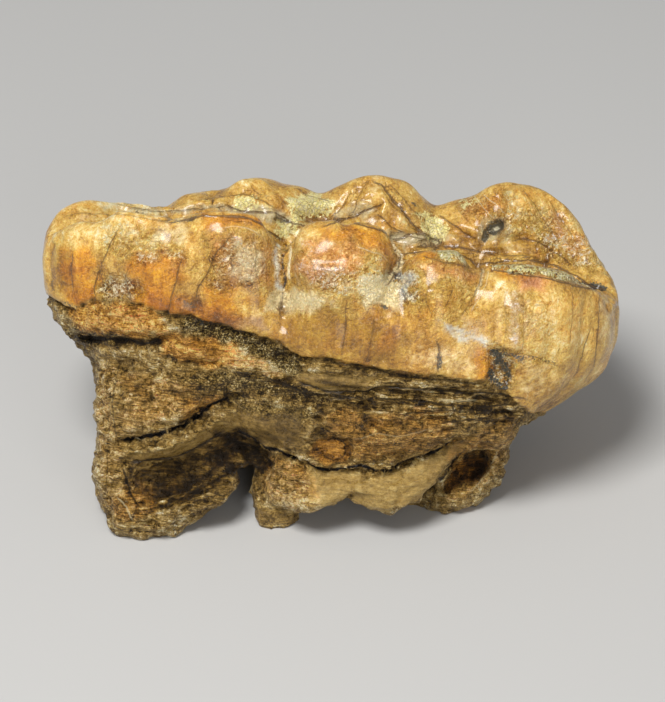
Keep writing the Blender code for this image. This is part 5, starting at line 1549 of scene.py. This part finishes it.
    # half width, ink (paler than its ground below 0)
    # a painted glint in the leaf-shaped pit
    # a painted glint on the distal root's tip
    lingual_lines: Sheet = """
    # the rims' edges
    0.06 0.4: -21.1 10.6, -19.5 10.9, -18.1 10.8, -16.6 10.6, -15.2 10.4, -13.6 10.1, -11.8 10
    0.1 0.9: -11.8 10, -10.2 10.3, -8.2 10.4, -6.3 10.2, -5 9.5, -3.8 8.7
    0.09 0.85: -0.8 9.5, 0.3 9.9, 1.7 9.8, 3.2 9.4, 4.1 9.1, 4.7 8.4, 5.5 7.5
    0.08 0.85: 5.5 7.7, 6.9 7.9, 9.1 7.9, 10.9 7.4, 11.5 6.7
    0.06 0.6: 6.8 7.3, 8 6.9, 9.6 6.6, 11.3 6.3
    0.09 0.9: 11.5 6.9, 13 7, 15.8 7.2, 17.4 6.9, 19 6.1, 20.2 5.3, 21.6 4.8
    0.07 0.85: 12.2 6.3, 14.5 5.8, 16.4 5.6, 18.8 5, 21 4.6
    # growth cracks
    0.07 0.7: -20.2 7.7, -20.3 6.1, -20.2 4.8
    0.06 0.75: -16.6 9.2, -17.4 7.8, -18.1 6.1, -18.4 5.2, -18.5 3.7
    0.06 0.7: -11.6 7.1, -12 5.5, -12.3 4.3, -12.7 2.9
    0.06 0.75: -7.8 8.7, -9.2 7, -9.6 5.8, -10.3 4.8, -10.4 3.9
    0.06 0.6: -3.8 4.6, -3.9 3.6, -4.1 2.6
    0.07 0.8: 4.1 9.1, 4.7 8.3, 5.4 7.5, 5.2 6.8, 4.7 5.8, 4.1 5
    0.06 0.5: 11.5 6.7, 11.5 5.6, 10.9 4.2, 9.9 2.6
    0.05 0.5: 1.1 3.8, 1 1.6, 0.7 -0.4
    0.05 0.4: 3.2 2.6, 3 0.9, 2.6 -0.9
    0.06 0.6: 20.8 4.5, 20.6 1.6, 20.4 -1.2, 19.6 -2.6
    0.05 0.45: 18.5 4.7, 18.5 2.6, 18.3 0.7
    0.05 0.25: 14.6 4.6, 14.7 1.9, 14.5 -0.5
    0.06 0.25: 13.2 4.3, 13.3 1.6, 13.1 0.1
    0.07 0.8: 8 0.7, 8.2 -0.1, 8.1 -1.6
    0.05 0.4: 13.4 -0.1, 15.3 -0.4, 16.5 -0.9, 17.6 -1.2
    0.05 0.5: -15.8 6.4, -16 5.2, -15.5 3.9
    0.05 0.3: -14.3 7.8, -12.9 7.7, -11.5 7.8
    0.05 0.4: -6.2 8.7, -5.8 7.7, -5.9 6.3, -5.5 5
    0.05 0.4: -2.5 7.7, -1.6 6.9, -1.3 5.5, -0.2 4.6
    0.05 0.4: 6.8 6.4, 7.4 5.2, 7.1 3.6, 7.7 2.6
    0.05 0.4: 8.8 6.1, 9.2 4.7, 8.6 3.2
    0.08 0.7: 0.1 -0.9, 1.5 -1, 2.6 -1.2, 5.5 -2, 8.5 -2.2, 11.5 -2.6
    # pale lines beside them
    0.07 -0.8: -3.2 8.1, -3.3 6.9, -3.3 5.5
    0.06 -0.7: 4.5 8.9, 5.2 8.1, 5.8 7.5
    0.05 -0.35: 12 6.4, 11.9 5.3, 11.3 4.1, 10.6 3
    0.05 -0.4: -8.2 9.5, -6.8 9.5, -5.5 8.9
    0.05 -0.6: 5.2 6.4, 5.4 5.2, 6 3.9
    0.05 -0.4: 1.8 8, 3.4 7.5, 4.3 6.9
    # layers in the basin
    0.08 0.55: -18.6 12.1, -17.2 11.7, -15.6 11.3, -14 11.1, -12.1 11.1, -10.2 11.3, -8.5 11.5
    0.1 0.85: -8.5 11.6, -7.3 11.1, -6.1 11, -4.7 11
    0.08 0.8: -4.7 11, -4 10.7, -3.2 10.1, -2.1 9.9, -1.3 9.9
    0.06 0.6: -10.8 12, -8.9 12.3, -7 12.5, -5.6 12, -4.5 11.3
    0.06 0.6: -2.9 13.1, -2.1 12.5, -1 12.3, -0.2 12
    0.08 0.85: -1.3 9.9, 0.1 10.5, 1.5 10.6, 2.7 11.2, 4 11.7
    0.09 0.9: 3.1 13.7, 4 13.3, 4.7 12.1, 5.4 11.5, 6.3 10.2, 7.2 9.5, 8.1 8.9, 9 8.6
    0.06 0.6: 1.5 12.8, 1.1 12, 0.6 11.2, -0.2 10.7
    0.06 0.7: 3.6 10.9, 4.7 9.9, 6.2 9.1, 7.7 8.7
    0.08 0.8: 4.2 8.8, 5.7 9, 6.8 9.4, 7.7 9.1
    0.07 0.7: 8.5 10.9, 9.5 10.2, 10.4 9.6, 11.5 9
    0.08 0.8: 6.6 8.3, 8.5 8.4, 10.3 8.2, 11.9 7.9
    0.18 -0.9: 12.9 9.7, 13.3 9.9
    0.06 0.6: 11.9 7.9, 13.3 7.6, 15.2 7.6, 16.5 7.4
    0.06 0.7: 14.2 8.8, 15.4 9, 16.5 8.7, 17.7 7.9, 19 6.9
    0.05 0.4: 15.2 12.9, 16.3 11.5, 17.1 10.1, 18.1 8.5
    0.05 0.4: 9.8 11.7, 10.4 11, 11.1 10.1
    0.05 -0.5: 11.4 12.5, 12.2 11.3, 12.8 10.7
    0.05 -0.5: 12.2 12.6, 13.1 11.7, 13.8 11
    0.05 0.5: 2.7 13.6, 2 12.1, 1.7 10.9
    0.05 0.5: 4.6 13.4, 5.4 12.5, 6.5 11.3, 7.6 10.4
    0.05 0.4: -6.5 13.3, -6.1 12.6, -5 12.3
    0.05 0.4: 17.3 12.1, 18.5 10.2, 19.8 8
    # the root's splits and strands
    0.12 0.9: -12 -5.7, -11 -5.2, -9.9 -4.3
    0.07 0.45: -16.6 -0.9, -17.1 -3.8, -16.8 -6.9
    0.05 0.35: -17.7 -1.6, -17.4 -4.6, -17.5 -7.7, -17.7 -11.5
    0.14 0.9: -20.1 1.1, -18 0.9, -15.9 1, -14.7 0.5, -13.5 0.9
    0.12 0.9: -15.9 -8.7, -14.1 -8.5, -12 -8.2, -10.3 -7.4, -8.6 -6.3
    0.09 0.8: -16.3 -9.2, -15.8 -11.1, -15.1 -12.3
    0.1 0.9: -2.5 -2.4, -0.2 -3.2, 2.6 -3.1, 3.7 -2.7
    0.1 0.8: -7.5 -1.6, -5.5 -1.9, -3.3 -2.7, -1.6 -3.6
    0.1 0.8: -0.2 -3.6, 2.9 -3.6, 6.8 -3.9, 10.6 -4.4, 14.2 -4.1
    0.1 0.8: 3.7 -2.7, 6.8 -2.9, 9.9 -3.2, 13 -3.3, 15.3 -3.9
    0.1 0.8: 5.2 -4.9, 8.3 -4.6, 11.4 -4.8, 14.2 -4.7
    0.08 0.7: 8.3 -5.6, 10.6 -5.3, 13 -5.5
    0.1 0.8: -7.2 -7.4, -6.7 -8.6, -6.2 -9.8
    0.07 0.7: -0.5 -7, 0 -6.7, 0.9 -7, 1 -8.1, 0.1 -8.6, -0.7 -8.1
    0.06 -0.3: 1.5 -6.9, 3.4 -6.4, 5.5 -6.6, 7.5 -6
    0.09 -0.7: 8.3 -3.7, 9.7 -3.9, 11.1 -3.8
    0.09 0.9: 10.3 -7.7, 9.6 -8.6, 8.5 -10.1, 7.3 -11.2
    0.08 -0.6: 13 -7.8, 12.3 -9.5, 10.9 -11.1
    0.06 0.6: -15.5 -12.6, -13.3 -12.1, -10.3 -10.8, -7.5 -9.2
    0.08 -0.7: -16.8 -11.5, -16.1 -12.1, -15.7 -13.1
    """
    # side, half width, ink
    far_lines: Sheet = """
    labial 0.08 0.9: 8.4 9, 8.1 6, 7.3 3
    labial 0.08 0.9: -1.4 9, -1.7 6.6, -2.2 4.4
    labial 0.06 0.7: -12.6 9.2, -13 7.2, -12.8 5.6
    labial 0.06 0.7: 18.6 6, 18.3 3, 17.8 -0.6
    labial 0.05 0.5: 15.8 7.8, 16 4.8, 15.4 1.8, 15.6 -0.8
    labial 0.05 0.5: 12.9 7, 12.5 4, 11.8 1.4
    labial 0.05 0.4: 10.4 6.6, 10.2 4.6, 10.6 2.2
    labial 0.05 0.5: 4.6 8.6, 4.9 6.4, 4.5 4
    labial 0.05 0.4: 1.4 8, 1.1 6, 1.3 4.2
    labial 0.05 0.5: -4.6 9, -4.4 7.2, -4.8 5.6
    labial 0.05 0.4: -8.8 9, -9.2 7.4, -9 6
    labial 0.05 0.5: -16 8.6, -16.3 7.2, -16 6
    labial 0.05 0.4: -19.4 8, -19.6 6.8, -19.4 5.8
    top 0.1 0.9: -16.8 3.8, -12 1.4, -6 0, 0 -0.6, 6 -0.8, 12 -1.4, 17 -2.4
    top 0.07 0.8: -9.6 4.4, -9.4 2.6, -8.4 0.8
    top 0.07 0.8: 0 4.6, 0.4 2.6, 0 0.4
    top 0.08 0.9: 8.2 4.6, 8.2 2.6, 7.4 0.2
    top 0.06 0.7: 17.6 3.2, 16.4 1.2, 15 -1
    top 0.06 0.7: -10.6 -4.4, -10 -2.6, -10.4 -0.8
    top 0.06 0.7: 1.6 -5.4, 2 -3.8, 1.2 -2
    top 0.06 0.7: 10 -5.6, 9.6 -4, 10.2 -2.4
    mesial 0.05 0.6: -2.4 4.4, -2.6 1.2, -2 -2.2
    mesial 0.05 0.6: 3.4 5.2, 3.8 1.8, 3.4 -2
    mesial 0.06 0.7: -6.8 3.2, -6.6 0.4, -6.4 -2.4
    mesial 0.05 0.4: 0.6 5, 0.2 2.4, 0.8 -0.6
    distal 0.06 0.6: -3 9.2, -2.6 7.6, -2.8 6
    distal 0.05 0.5: 0.4 9.4, 0.8 7.8, 0.4 6.2
    distal 0.05 0.5: 3.6 8.4, 3.4 7, 3.2 6
    distal 0.05 0.5: -6 8.6, -5.6 7.2, -5.8 6
    """


@dataclass
class Molar:
    """The tooth: its solid remeshed, carved, brushed with stains and given its two finishes.

    Lengths are in millimetres.
    """

    weld: float = 0.001  # points of the solid nearer each other than this become one
    voxel: float = 0.24  # how long the fine mesh's edges are
    soften: int = 10  # how many times the fine mesh is smoothed
    crack_reach: float = 0.32  # how far from a crack the mesh is refined
    floor_snap: float = 0.3  # what is nearer the floor than this is pressed towards it
    lip_height: float = 0.16  # how far the enamel's edge stands out
    lip_undercut: float = 0.30  # how far the root is drawn in under it
    ragged: tuple[float, float] = (0.14, 0.09)  # how far the enamel's edge strays, broadly and finely
    enamel_waves: tuple[float, float] = (0.16, 0.06)  # how high its broad and its close waves are
    root_relief: tuple[float, float, float] = (0.20, 0.16, 0.16)  # fibres, lumps and grit
    basin_relief: tuple[float, float] = (0.20, 0.10)  # wrinkles and folds
    mend_rounds: int = 5
    seed: int = 7  # what the strokes' wandering is drawn from
    blur: float = 1.5  # how much softer than drawn the enamel's patches are
    carving: Carving = Carving()
    painting: Painting = Painting()
    enamel: Enamel = Enamel()
    root: Root = Root()

    def matrix(self) -> Matrix:
        """The tooth's frame, in millimetres, as the scene's, in metres."""
        lean = Matrix.Rotation(-LEAN, 4, "X")
        return Matrix.Scale(MILLIMETRE, 4) @ Matrix.Translation(FRAME_ORIGIN_MM) @ lean

    def blank(self) -> bpy.types.Mesh:
        """Rounds the solid and remeshes it finely.

        Returns:
            The mesh, in the tooth's frame.
        """
        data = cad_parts["tooth"].data.copy()
        data.transform(self.matrix().inverted())
        mesh = bmesh.new()
        mesh.from_mesh(data)
        bmesh.ops.remove_doubles(mesh, verts=mesh.verts, dist=self.weld)
        mesh.to_mesh(data)
        mesh.free()
        holder = bpy.data.objects.new("blank", data)
        bpy.context.scene.collection.objects.link(holder)
        for kind, settings in (
            ("SUBSURF", {"levels": 1, "render_levels": 1}),
            ("REMESH", {"mode": "VOXEL", "voxel_size": self.voxel}),
            ("SMOOTH", {"factor": 0.5, "iterations": self.soften}),
        ):
            modifier = holder.modifiers.new(kind, kind)
            for name, value in settings.items():
                setattr(modifier, name, value)
        graph = bpy.context.evaluated_depsgraph_get()
        made = bpy.data.meshes.new_from_object(holder.evaluated_get(graph))
        bpy.data.objects.remove(holder)
        made.materials.clear()
        return made

    def refined(self, data: bpy.types.Mesh) -> bpy.types.Mesh:
        """Halves the mesh's edges along the cracks, so that they can be thin.

        Args:
            data: The mesh.

        Returns:
            The same mesh, with more points.
        """
        for reach in (self.crack_reach, 0.6 * self.crack_reach):
            clay = Clay(data)
            close = np.zeros(len(clay.points), bool)
            for line, width, _ in strokes(self.carving.cracks) + strokes(self.carving.pit):
                hits, _ = clay.landed(Face.LINGUAL, line, 0.2)
                far = max(reach, 1.4 * width)
                near = ((clay.points > hits.min(0) - far) & (clay.points < hits.max(0) + far)).all(1)
                index = np.flatnonzero(near)
                gap = clay.points[index][:, None, :] - hits[None, :, :]
                close[index] |= ((gap**2).sum(2) < far**2).any(1)
            mesh = bmesh.new()
            mesh.from_mesh(data)
            mesh.verts.ensure_lookup_table()
            edges = [e for e in mesh.edges if close[e.verts[0].index] and close[e.verts[1].index]]
            bmesh.ops.subdivide_edges(mesh, edges=edges, cuts=1, use_grid_fill=True)
            mesh.to_mesh(data)
            mesh.free()
        return data

    def margin(self, clay: Clay) -> np.ndarray:
        """Measures from the enamel's edge.

        Args:
            clay: The tooth as it is so far.

        Returns:
            How far each point is above the edge, in millimetres.
        """
        x, y, z = clay.points.T
        lingual = np.interp(x, *track(self.carving.lingual_margin).T)
        labial = np.interp(x, *track(self.carving.labial_margin).T)
        side = ramp(y, -3.0, 3.0)
        broad, close = self.ragged
        ragged = broad * clay.grained((1.6, 1.6, 1.6), 4.2) + close * clay.grained((0.5, 0.5, 0.5), 9.1)
        return z - (lingual + (labial - lingual) * side) + ragged

    def dentine(self, clay: Clay) -> None:
        """Marks the smooth, bare dentine between the broken layers."""
        for outline, soft, strength in strokes(self.carving.dentine):
            clay.fill(Layer.SMOOTH, Face.LINGUAL, outline, soft, strength)

    def lumps(self, clay: Clay) -> None:
        """Gives the crown its faint unevenness, and the root its coarse, fibrous and granular relief.

        Args:
            clay: The tooth as it is so far.
        """
        above = self.margin(clay)
        enamel = ramp(above, -0.15, 0.25)
        root = 1 - ramp(above, -0.5, 0.1)
        x, y, z = clay.points.T
        broad, close = self.enamel_waves
        wavy = broad * clay.grained((3.2, 3.2, 3.2), 11.3) + close * clay.grained((1.3, 1.3, 2.4), 5.7)
        fibres = clay.grained((3.6, 1.1, 0.62), 21.9, ridged=True)
        coarse = clay.grained((1.9, 1.9, 1.4), 33.1)
        grit = clay.grained((0.75, 0.75, 0.65), 41.7)
        strand, lump, grain = self.root_relief
        rough = (strand * fibres + lump * coarse + grain * grit) * (1 - 0.75 * clay.masks[Layer.SMOOTH])
        # the basin is the enamel that faces up and lies well below the cusps' tips
        stations = np.arange(-23.0, 24.0)
        tops = [z[np.abs(x - station) < 0.9].max(initial=0.0) for station in stations]
        basin = enamel * ramp(clay.normals[:, 2], 0.1, 0.6) * ramp(y, -7.0, -4.5)
        basin *= ramp(np.interp(x, stations, tops) - z, 0.7, 2.0)
        wrinkles = clay.grained((1.5, 1.1, 1.2), 57.3, ridged=True)
        folds = clay.grained((0.8, 1.3, 0.9), 67.9, ridged=True)
        deep, shallow = self.basin_relief
        moved = enamel * wavy * (0.85 - 0.5 * basin) + root * rough
        moved = moved + basin * (deep * wrinkles + shallow * folds)
        clay.push(np.arange(len(x)), moved)
        clay.refresh()

    def lobes(self, clay: Clay) -> None:
        """Carves the crown's lobes: grooves between them, their rims and the lip under them.

        Args:
            clay: The tooth as it is so far.
        """
        clay.cut_all(self.carving.wall_grooves)
        clay.refresh()
        clay.cut_all(self.carving.wall_ridges, raised=True)
        clay.refresh()
        for face, line, width, depth in strokes(self.carving.far_grooves, Face):
            clay.cut(face, line, width, depth, wander=0.3)
        clay.refresh()
        # the enamel ends in a lip over the root
        above = self.margin(clay)
        lip = ramp(above, -0.1, 0.15) * (1 - ramp(above, 0.2, 1.6))
        under = ramp(above, -0.9, -0.1) * (1 - ramp(above, -0.1, 0.1))
        clay.push(np.arange(len(lip)), self.lip_height * lip - self.lip_undercut * under)
        clay.refresh()

    def basin(self, clay: Clay) -> None:
        """Carves the chewing face: its veins, pits and wrinkles, and the cusps' edges.

        Args:
            clay: The tooth as it is so far.
        """
        clay.cut_all(self.carving.basin_furrows, wander=0.25)
        clay.refresh()
        for line, width, depth in strokes(self.carving.pit):
            clay.cut(Face.LINGUAL, line, width, depth, fade=0.4)
        clay.refresh()
        clay.cut_all(self.carving.basin_folds, wander=0.2, raised=True)
        clay.refresh()

    def breaks(self, clay: Clay) -> None:
        """Breaks the root: ledges, the dark hollow with its layers, scabs and chips.

        Args:
            clay: The tooth as it is so far.
        """
        clay.sink_all(self.carving.crown_pits)
        clay.refresh()
        for line, drop, run in strokes(self.carving.ledges):
            clay.step(Face.LINGUAL, line, drop, run, wander=0.3)
            clay.refresh()
        clay.cut_all(self.carving.root_grooves, wander=0.4)
        clay.refresh()
        clay.sink_all(self.carving.hollow)
        clay.cut_all(self.carving.hollow_layers, wander=0.4)
        clay.sink_all(self.carving.hole)
        clay.cut_all(self.carving.strand)
        clay.sink_all(self.carving.scabs)
        clay.cut_all(self.carving.swelling)
        clay.refresh()

    def mended(self, clay: Clay) -> None:
        """Takes the folds out of the broken root, before the fine cracks are opened."""
        clay.mend(self.mend_rounds)

    def crack_open(self, clay: Clay) -> None:
        """Opens the fine cracks and paints their dirt.

        Args:
            clay: The tooth as it is so far.
        """
        for line, width, depth in strokes(self.carving.cracks):
            index, strength, _ = clay.reach(Face.LINGUAL, line, width, 0.1, 0.12)
            clay.points[index] += depth * strength[:, None] * Face.LINGUAL.look
            mask = clay.masks[Layer.CRACK]
            mask[index] = np.maximum(mask[index], strength * min(1.0, depth * 4))
        clay.refresh()

    def stain(self, clay: Clay) -> None:
        """Brushes the mineral stains, with their painted highlights and sheen, and the tones on, draws the
        fine lines, and paints shade into hollows and highlights on what stands proud.

        Args:
            clay: The tooth as it is so far.
        """
        above = self.margin(clay)
        clay.masks[Layer.ENAMEL] = ramp(above, -0.08, 0.10)
        for blur, sheet in ((self.blur, self.painting.enamel_patches), (1.0, self.painting.root_patches)):
            for layer, outline, soft, strength in strokes(sheet, Layer):
                clay.fill(layer, Face.LINGUAL, outline, blur * soft, strength)
        for layer, line, width, strength in strokes(self.painting.streaks, Layer):
            clay.brush(layer, Face.LINGUAL, line, width, strength)
        for closed, sheet in ((True, self.painting.tones), (False, self.painting.strands)):
            for shape, soft, amount in strokes(sheet):
                clay.shade(Face.LINGUAL, shape, soft, amount, closed)
        self.weather(clay, above)
        self.lines(clay)
        self.paint_shade_and_highlight(clay)

    def weather(self, clay: Clay, above: np.ndarray) -> None:
        """Stains what isn't drawn: the far sides, and the basin's grey-green floor.

        Args:
            clay: The tooth as it is so far.
            above: How far each point is above the enamel's edge, in millimetres.
        """
        masks = clay.masks
        seen = ramp(-(clay.normals @ Face.LINGUAL.look), -0.15, 0.25)
        away = 1 - seen * (1 - ramp(clay.unseen(Face.LINGUAL), 0.4, 0.9))
        for part in self.painting.scatters:
            cover = away * part.strength * ramp(clay.grained(part.size, part.seed), part.low, part.low + 0.9)
            masks[part.layer] = np.maximum(masks[part.layer], cover)
        masks[Layer.TONE] += away * 0.18 * clay.grained((2.4, 2.4, 1.8), 211.9)
        height = clay.points[:, 2]
        floor = ramp(clay.normals[:, 2], 0.35, 0.75) * ramp(10.2 - height, 0.0, 2.4) * ramp(above, 1.5, 3.0)
        patchy = 0.35 + 0.65 * ramp(clay.grained((2.2, 1.4, 2.0), 229.1), -0.3, 0.5)
        masks[Layer.OLIVE] = np.maximum(masks[Layer.OLIVE], away * floor * patchy * 0.8)
        masks[Layer.TONE] -= away * floor * 0.06

    def lines(self, clay: Clay) -> None:
        """Draws the fine lines: rims, growth cracks, layers of the basin and the root's splits.

        Args:
            clay: The tooth as it is so far.
        """
        for line, width, ink in strokes(self.painting.lingual_lines):
            clay.draw(Face.LINGUAL, line, width, ink)
        for face, line, width, ink in strokes(self.painting.far_lines, Face):
            clay.draw(face, line, width, ink)

    def paint_shade_and_highlight(self, clay: Clay) -> None:
        """Marks what lies deep, to be darker as painted shade, and what stands proud, to be paler as a
        painted highlight.

        Args:
            clay: The tooth as it is so far.
        """
        fine = clay.relaxed(clay.points, 8)
        broad = clay.relaxed(fine, 60)
        dents = ((broad - clay.points) * clay.normals).sum(1)
        # painted shade in what lies deep, and a painted highlight on what stands proud
        clay.masks[Layer.HOLLOW] = ramp(dents, 0.03, 0.45)
        clay.masks[Layer.EDGE] = ramp(-dents, 0.03, 0.40)

    def material(self) -> bpy.types.Material:
        """Joins the enamel and the root, each shown where its mask says.

        Returns:
            The material.
        """
        graph = Graph("fossil tooth")
        values = {0: graph.mask(Layer.ENAMEL), 1: self.root.shader(graph), 2: self.enamel.shader(graph)}
        return graph.surface(graph.node("ShaderNodeMixShader", {}, values))

    def settled(self, data: bpy.types.Mesh) -> None:
        """Keeps the mesh on the floor and inside the solid's box.

        Args:
            data: The mesh, in the scene's frame, in metres.
        """
        low, high = (np.array(corner) for corner in solid_box)
        points = np.empty((len(data.vertices), 3))
        data.vertices.foreach_get("co", points.ravel())
        grounded = points[:, 2] < self.floor_snap * MILLIMETRE
        points[grounded, 2] *= ramp(points[grounded, 2], 0, self.floor_snap * MILLIMETRE)
        data.vertices.foreach_set("co", np.clip(points, low, high).ravel())
        data.update()

    def build(self) -> bpy.types.Object:
        """Makes the tooth.

        Returns:
            Its object, riding the frame's node.
        """
        noise.seed_set(self.seed)
        data = self.refined(self.blank())
        clay = Clay(data)
        shaping = (self.dentine, self.lumps, self.lobes, self.basin, self.breaks, self.mended)
        for work in (*shaping, self.crack_open, self.stain):
            work(clay)
            log.info("%s: %d points", work.__name__, len(clay.points))
        clay.store()
        data.transform(self.matrix())
        self.settled(data)
        for polygon in data.polygons:
            polygon.use_smooth = True
        data.materials.append(self.material())
        tooth = bpy.data.objects.new("fossil_tooth", data)
        bpy.context.scene.collection.objects.link(tooth)
        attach(tooth, "root")
        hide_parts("tooth")
        return tooth


@dataclass(frozen=True)
class Lamp:
    """An area light, in metres and watts."""

    name: str
    place: tuple[float, float, float]
    size: float
    watts: float
    tint: Colour


@dataclass
class Studio:
    """A pale floor under soft lights, and the camera; lengths are in metres."""

    elevation: float = math.radians(33.0)
    distance: float = 0.300
    lens: float = 193.8
    clip_start: float = 0.01
    floor_size: float = 3.0
    floor_colour: Colour = (0.50, 0.50, 0.495)
    floor_rough: float = 0.85
    sky_colour: Colour = (0.24, 0.24, 0.24)
    aim: tuple[float, float, float] = (0.0, 0.0, 0.012)  # the tooth's middle
    lamps: tuple[Lamp, ...] = (
        Lamp("key", (-0.10, -0.16, 0.36), 0.14, 1.7, (1.0, 0.985, 0.96)),
        Lamp("fill", (0.14, -0.42, 0.14), 0.25, 0.65, (1.0, 0.99, 0.97)),
    )

    def floor(self) -> None:
        """Lays the floor down."""
        data = bpy.data.meshes.new("floor")
        half = self.floor_size / 2
        corners = [(-half, -half, 0), (half, -half, 0), (half, half, 0), (-half, half, 0)]
        data.from_pydata(corners, [], [(0, 1, 2, 3)])
        graph = Graph("floor")
        values = {"Base Color": (*self.floor_colour, 1), "Roughness": self.floor_rough}
        data.materials.append(graph.surface(graph.node("ShaderNodeBsdfPrincipled", {}, values)))
        floor = bpy.data.objects.new("floor", data)
        bpy.context.scene.collection.objects.link(floor)

    def lights(self) -> None:
        """Hangs a broad key light overhead, a weak fill in front, and a grey sky."""
        for lamp in self.lamps:
            data = bpy.data.lights.new(lamp.name, "AREA")
            data.size, data.energy, data.color = lamp.size, lamp.watts, lamp.tint
            light = bpy.data.objects.new(lamp.name, data)
            light.location = lamp.place
            towards = Vector(self.aim) - Vector(lamp.place)
            light.rotation_euler = towards.to_track_quat("-Z", "Y").to_euler()
            bpy.context.scene.collection.objects.link(light)
        world = bpy.data.worlds.new("sky")
        world.use_nodes = True
        world.node_tree.nodes["Background"].inputs["Color"].default_value = (*self.sky_colour, 1)
        bpy.context.scene.world = world

    def camera(self) -> None:
        """Aims the camera at the tooth from above its lingual side."""
        target = Vector(FRAME_ORIGIN_MM) * MILLIMETRE
        back = Vector((0, -math.cos(self.elevation), math.sin(self.elevation)))
        data = bpy.data.cameras.new("camera")
        data.lens = self.lens
        data.clip_start = self.clip_start
        camera = bpy.data.objects.new("camera", data)
        camera.location = target + back * self.distance
        camera.rotation_euler = (-back).to_track_quat("-Z", "Y").to_euler()
        bpy.context.scene.collection.objects.link(camera)
        bpy.context.scene.camera = camera
        bpy.context.scene.view_settings.view_transform = "Standard"


def main() -> None:
    """Builds the scene in order, and reports each piece."""
    logging.basicConfig(level=logging.INFO, format="%(name)s: %(message)s", stream=sys.stdout)
    tooth = Molar().build()
    log.info("tooth: %d faces", len(tooth.data.polygons))
    studio = Studio()
    studio.floor()
    studio.lights()
    studio.camera()
    log.info("studio ready")


if __name__ == "__main__":
    main()
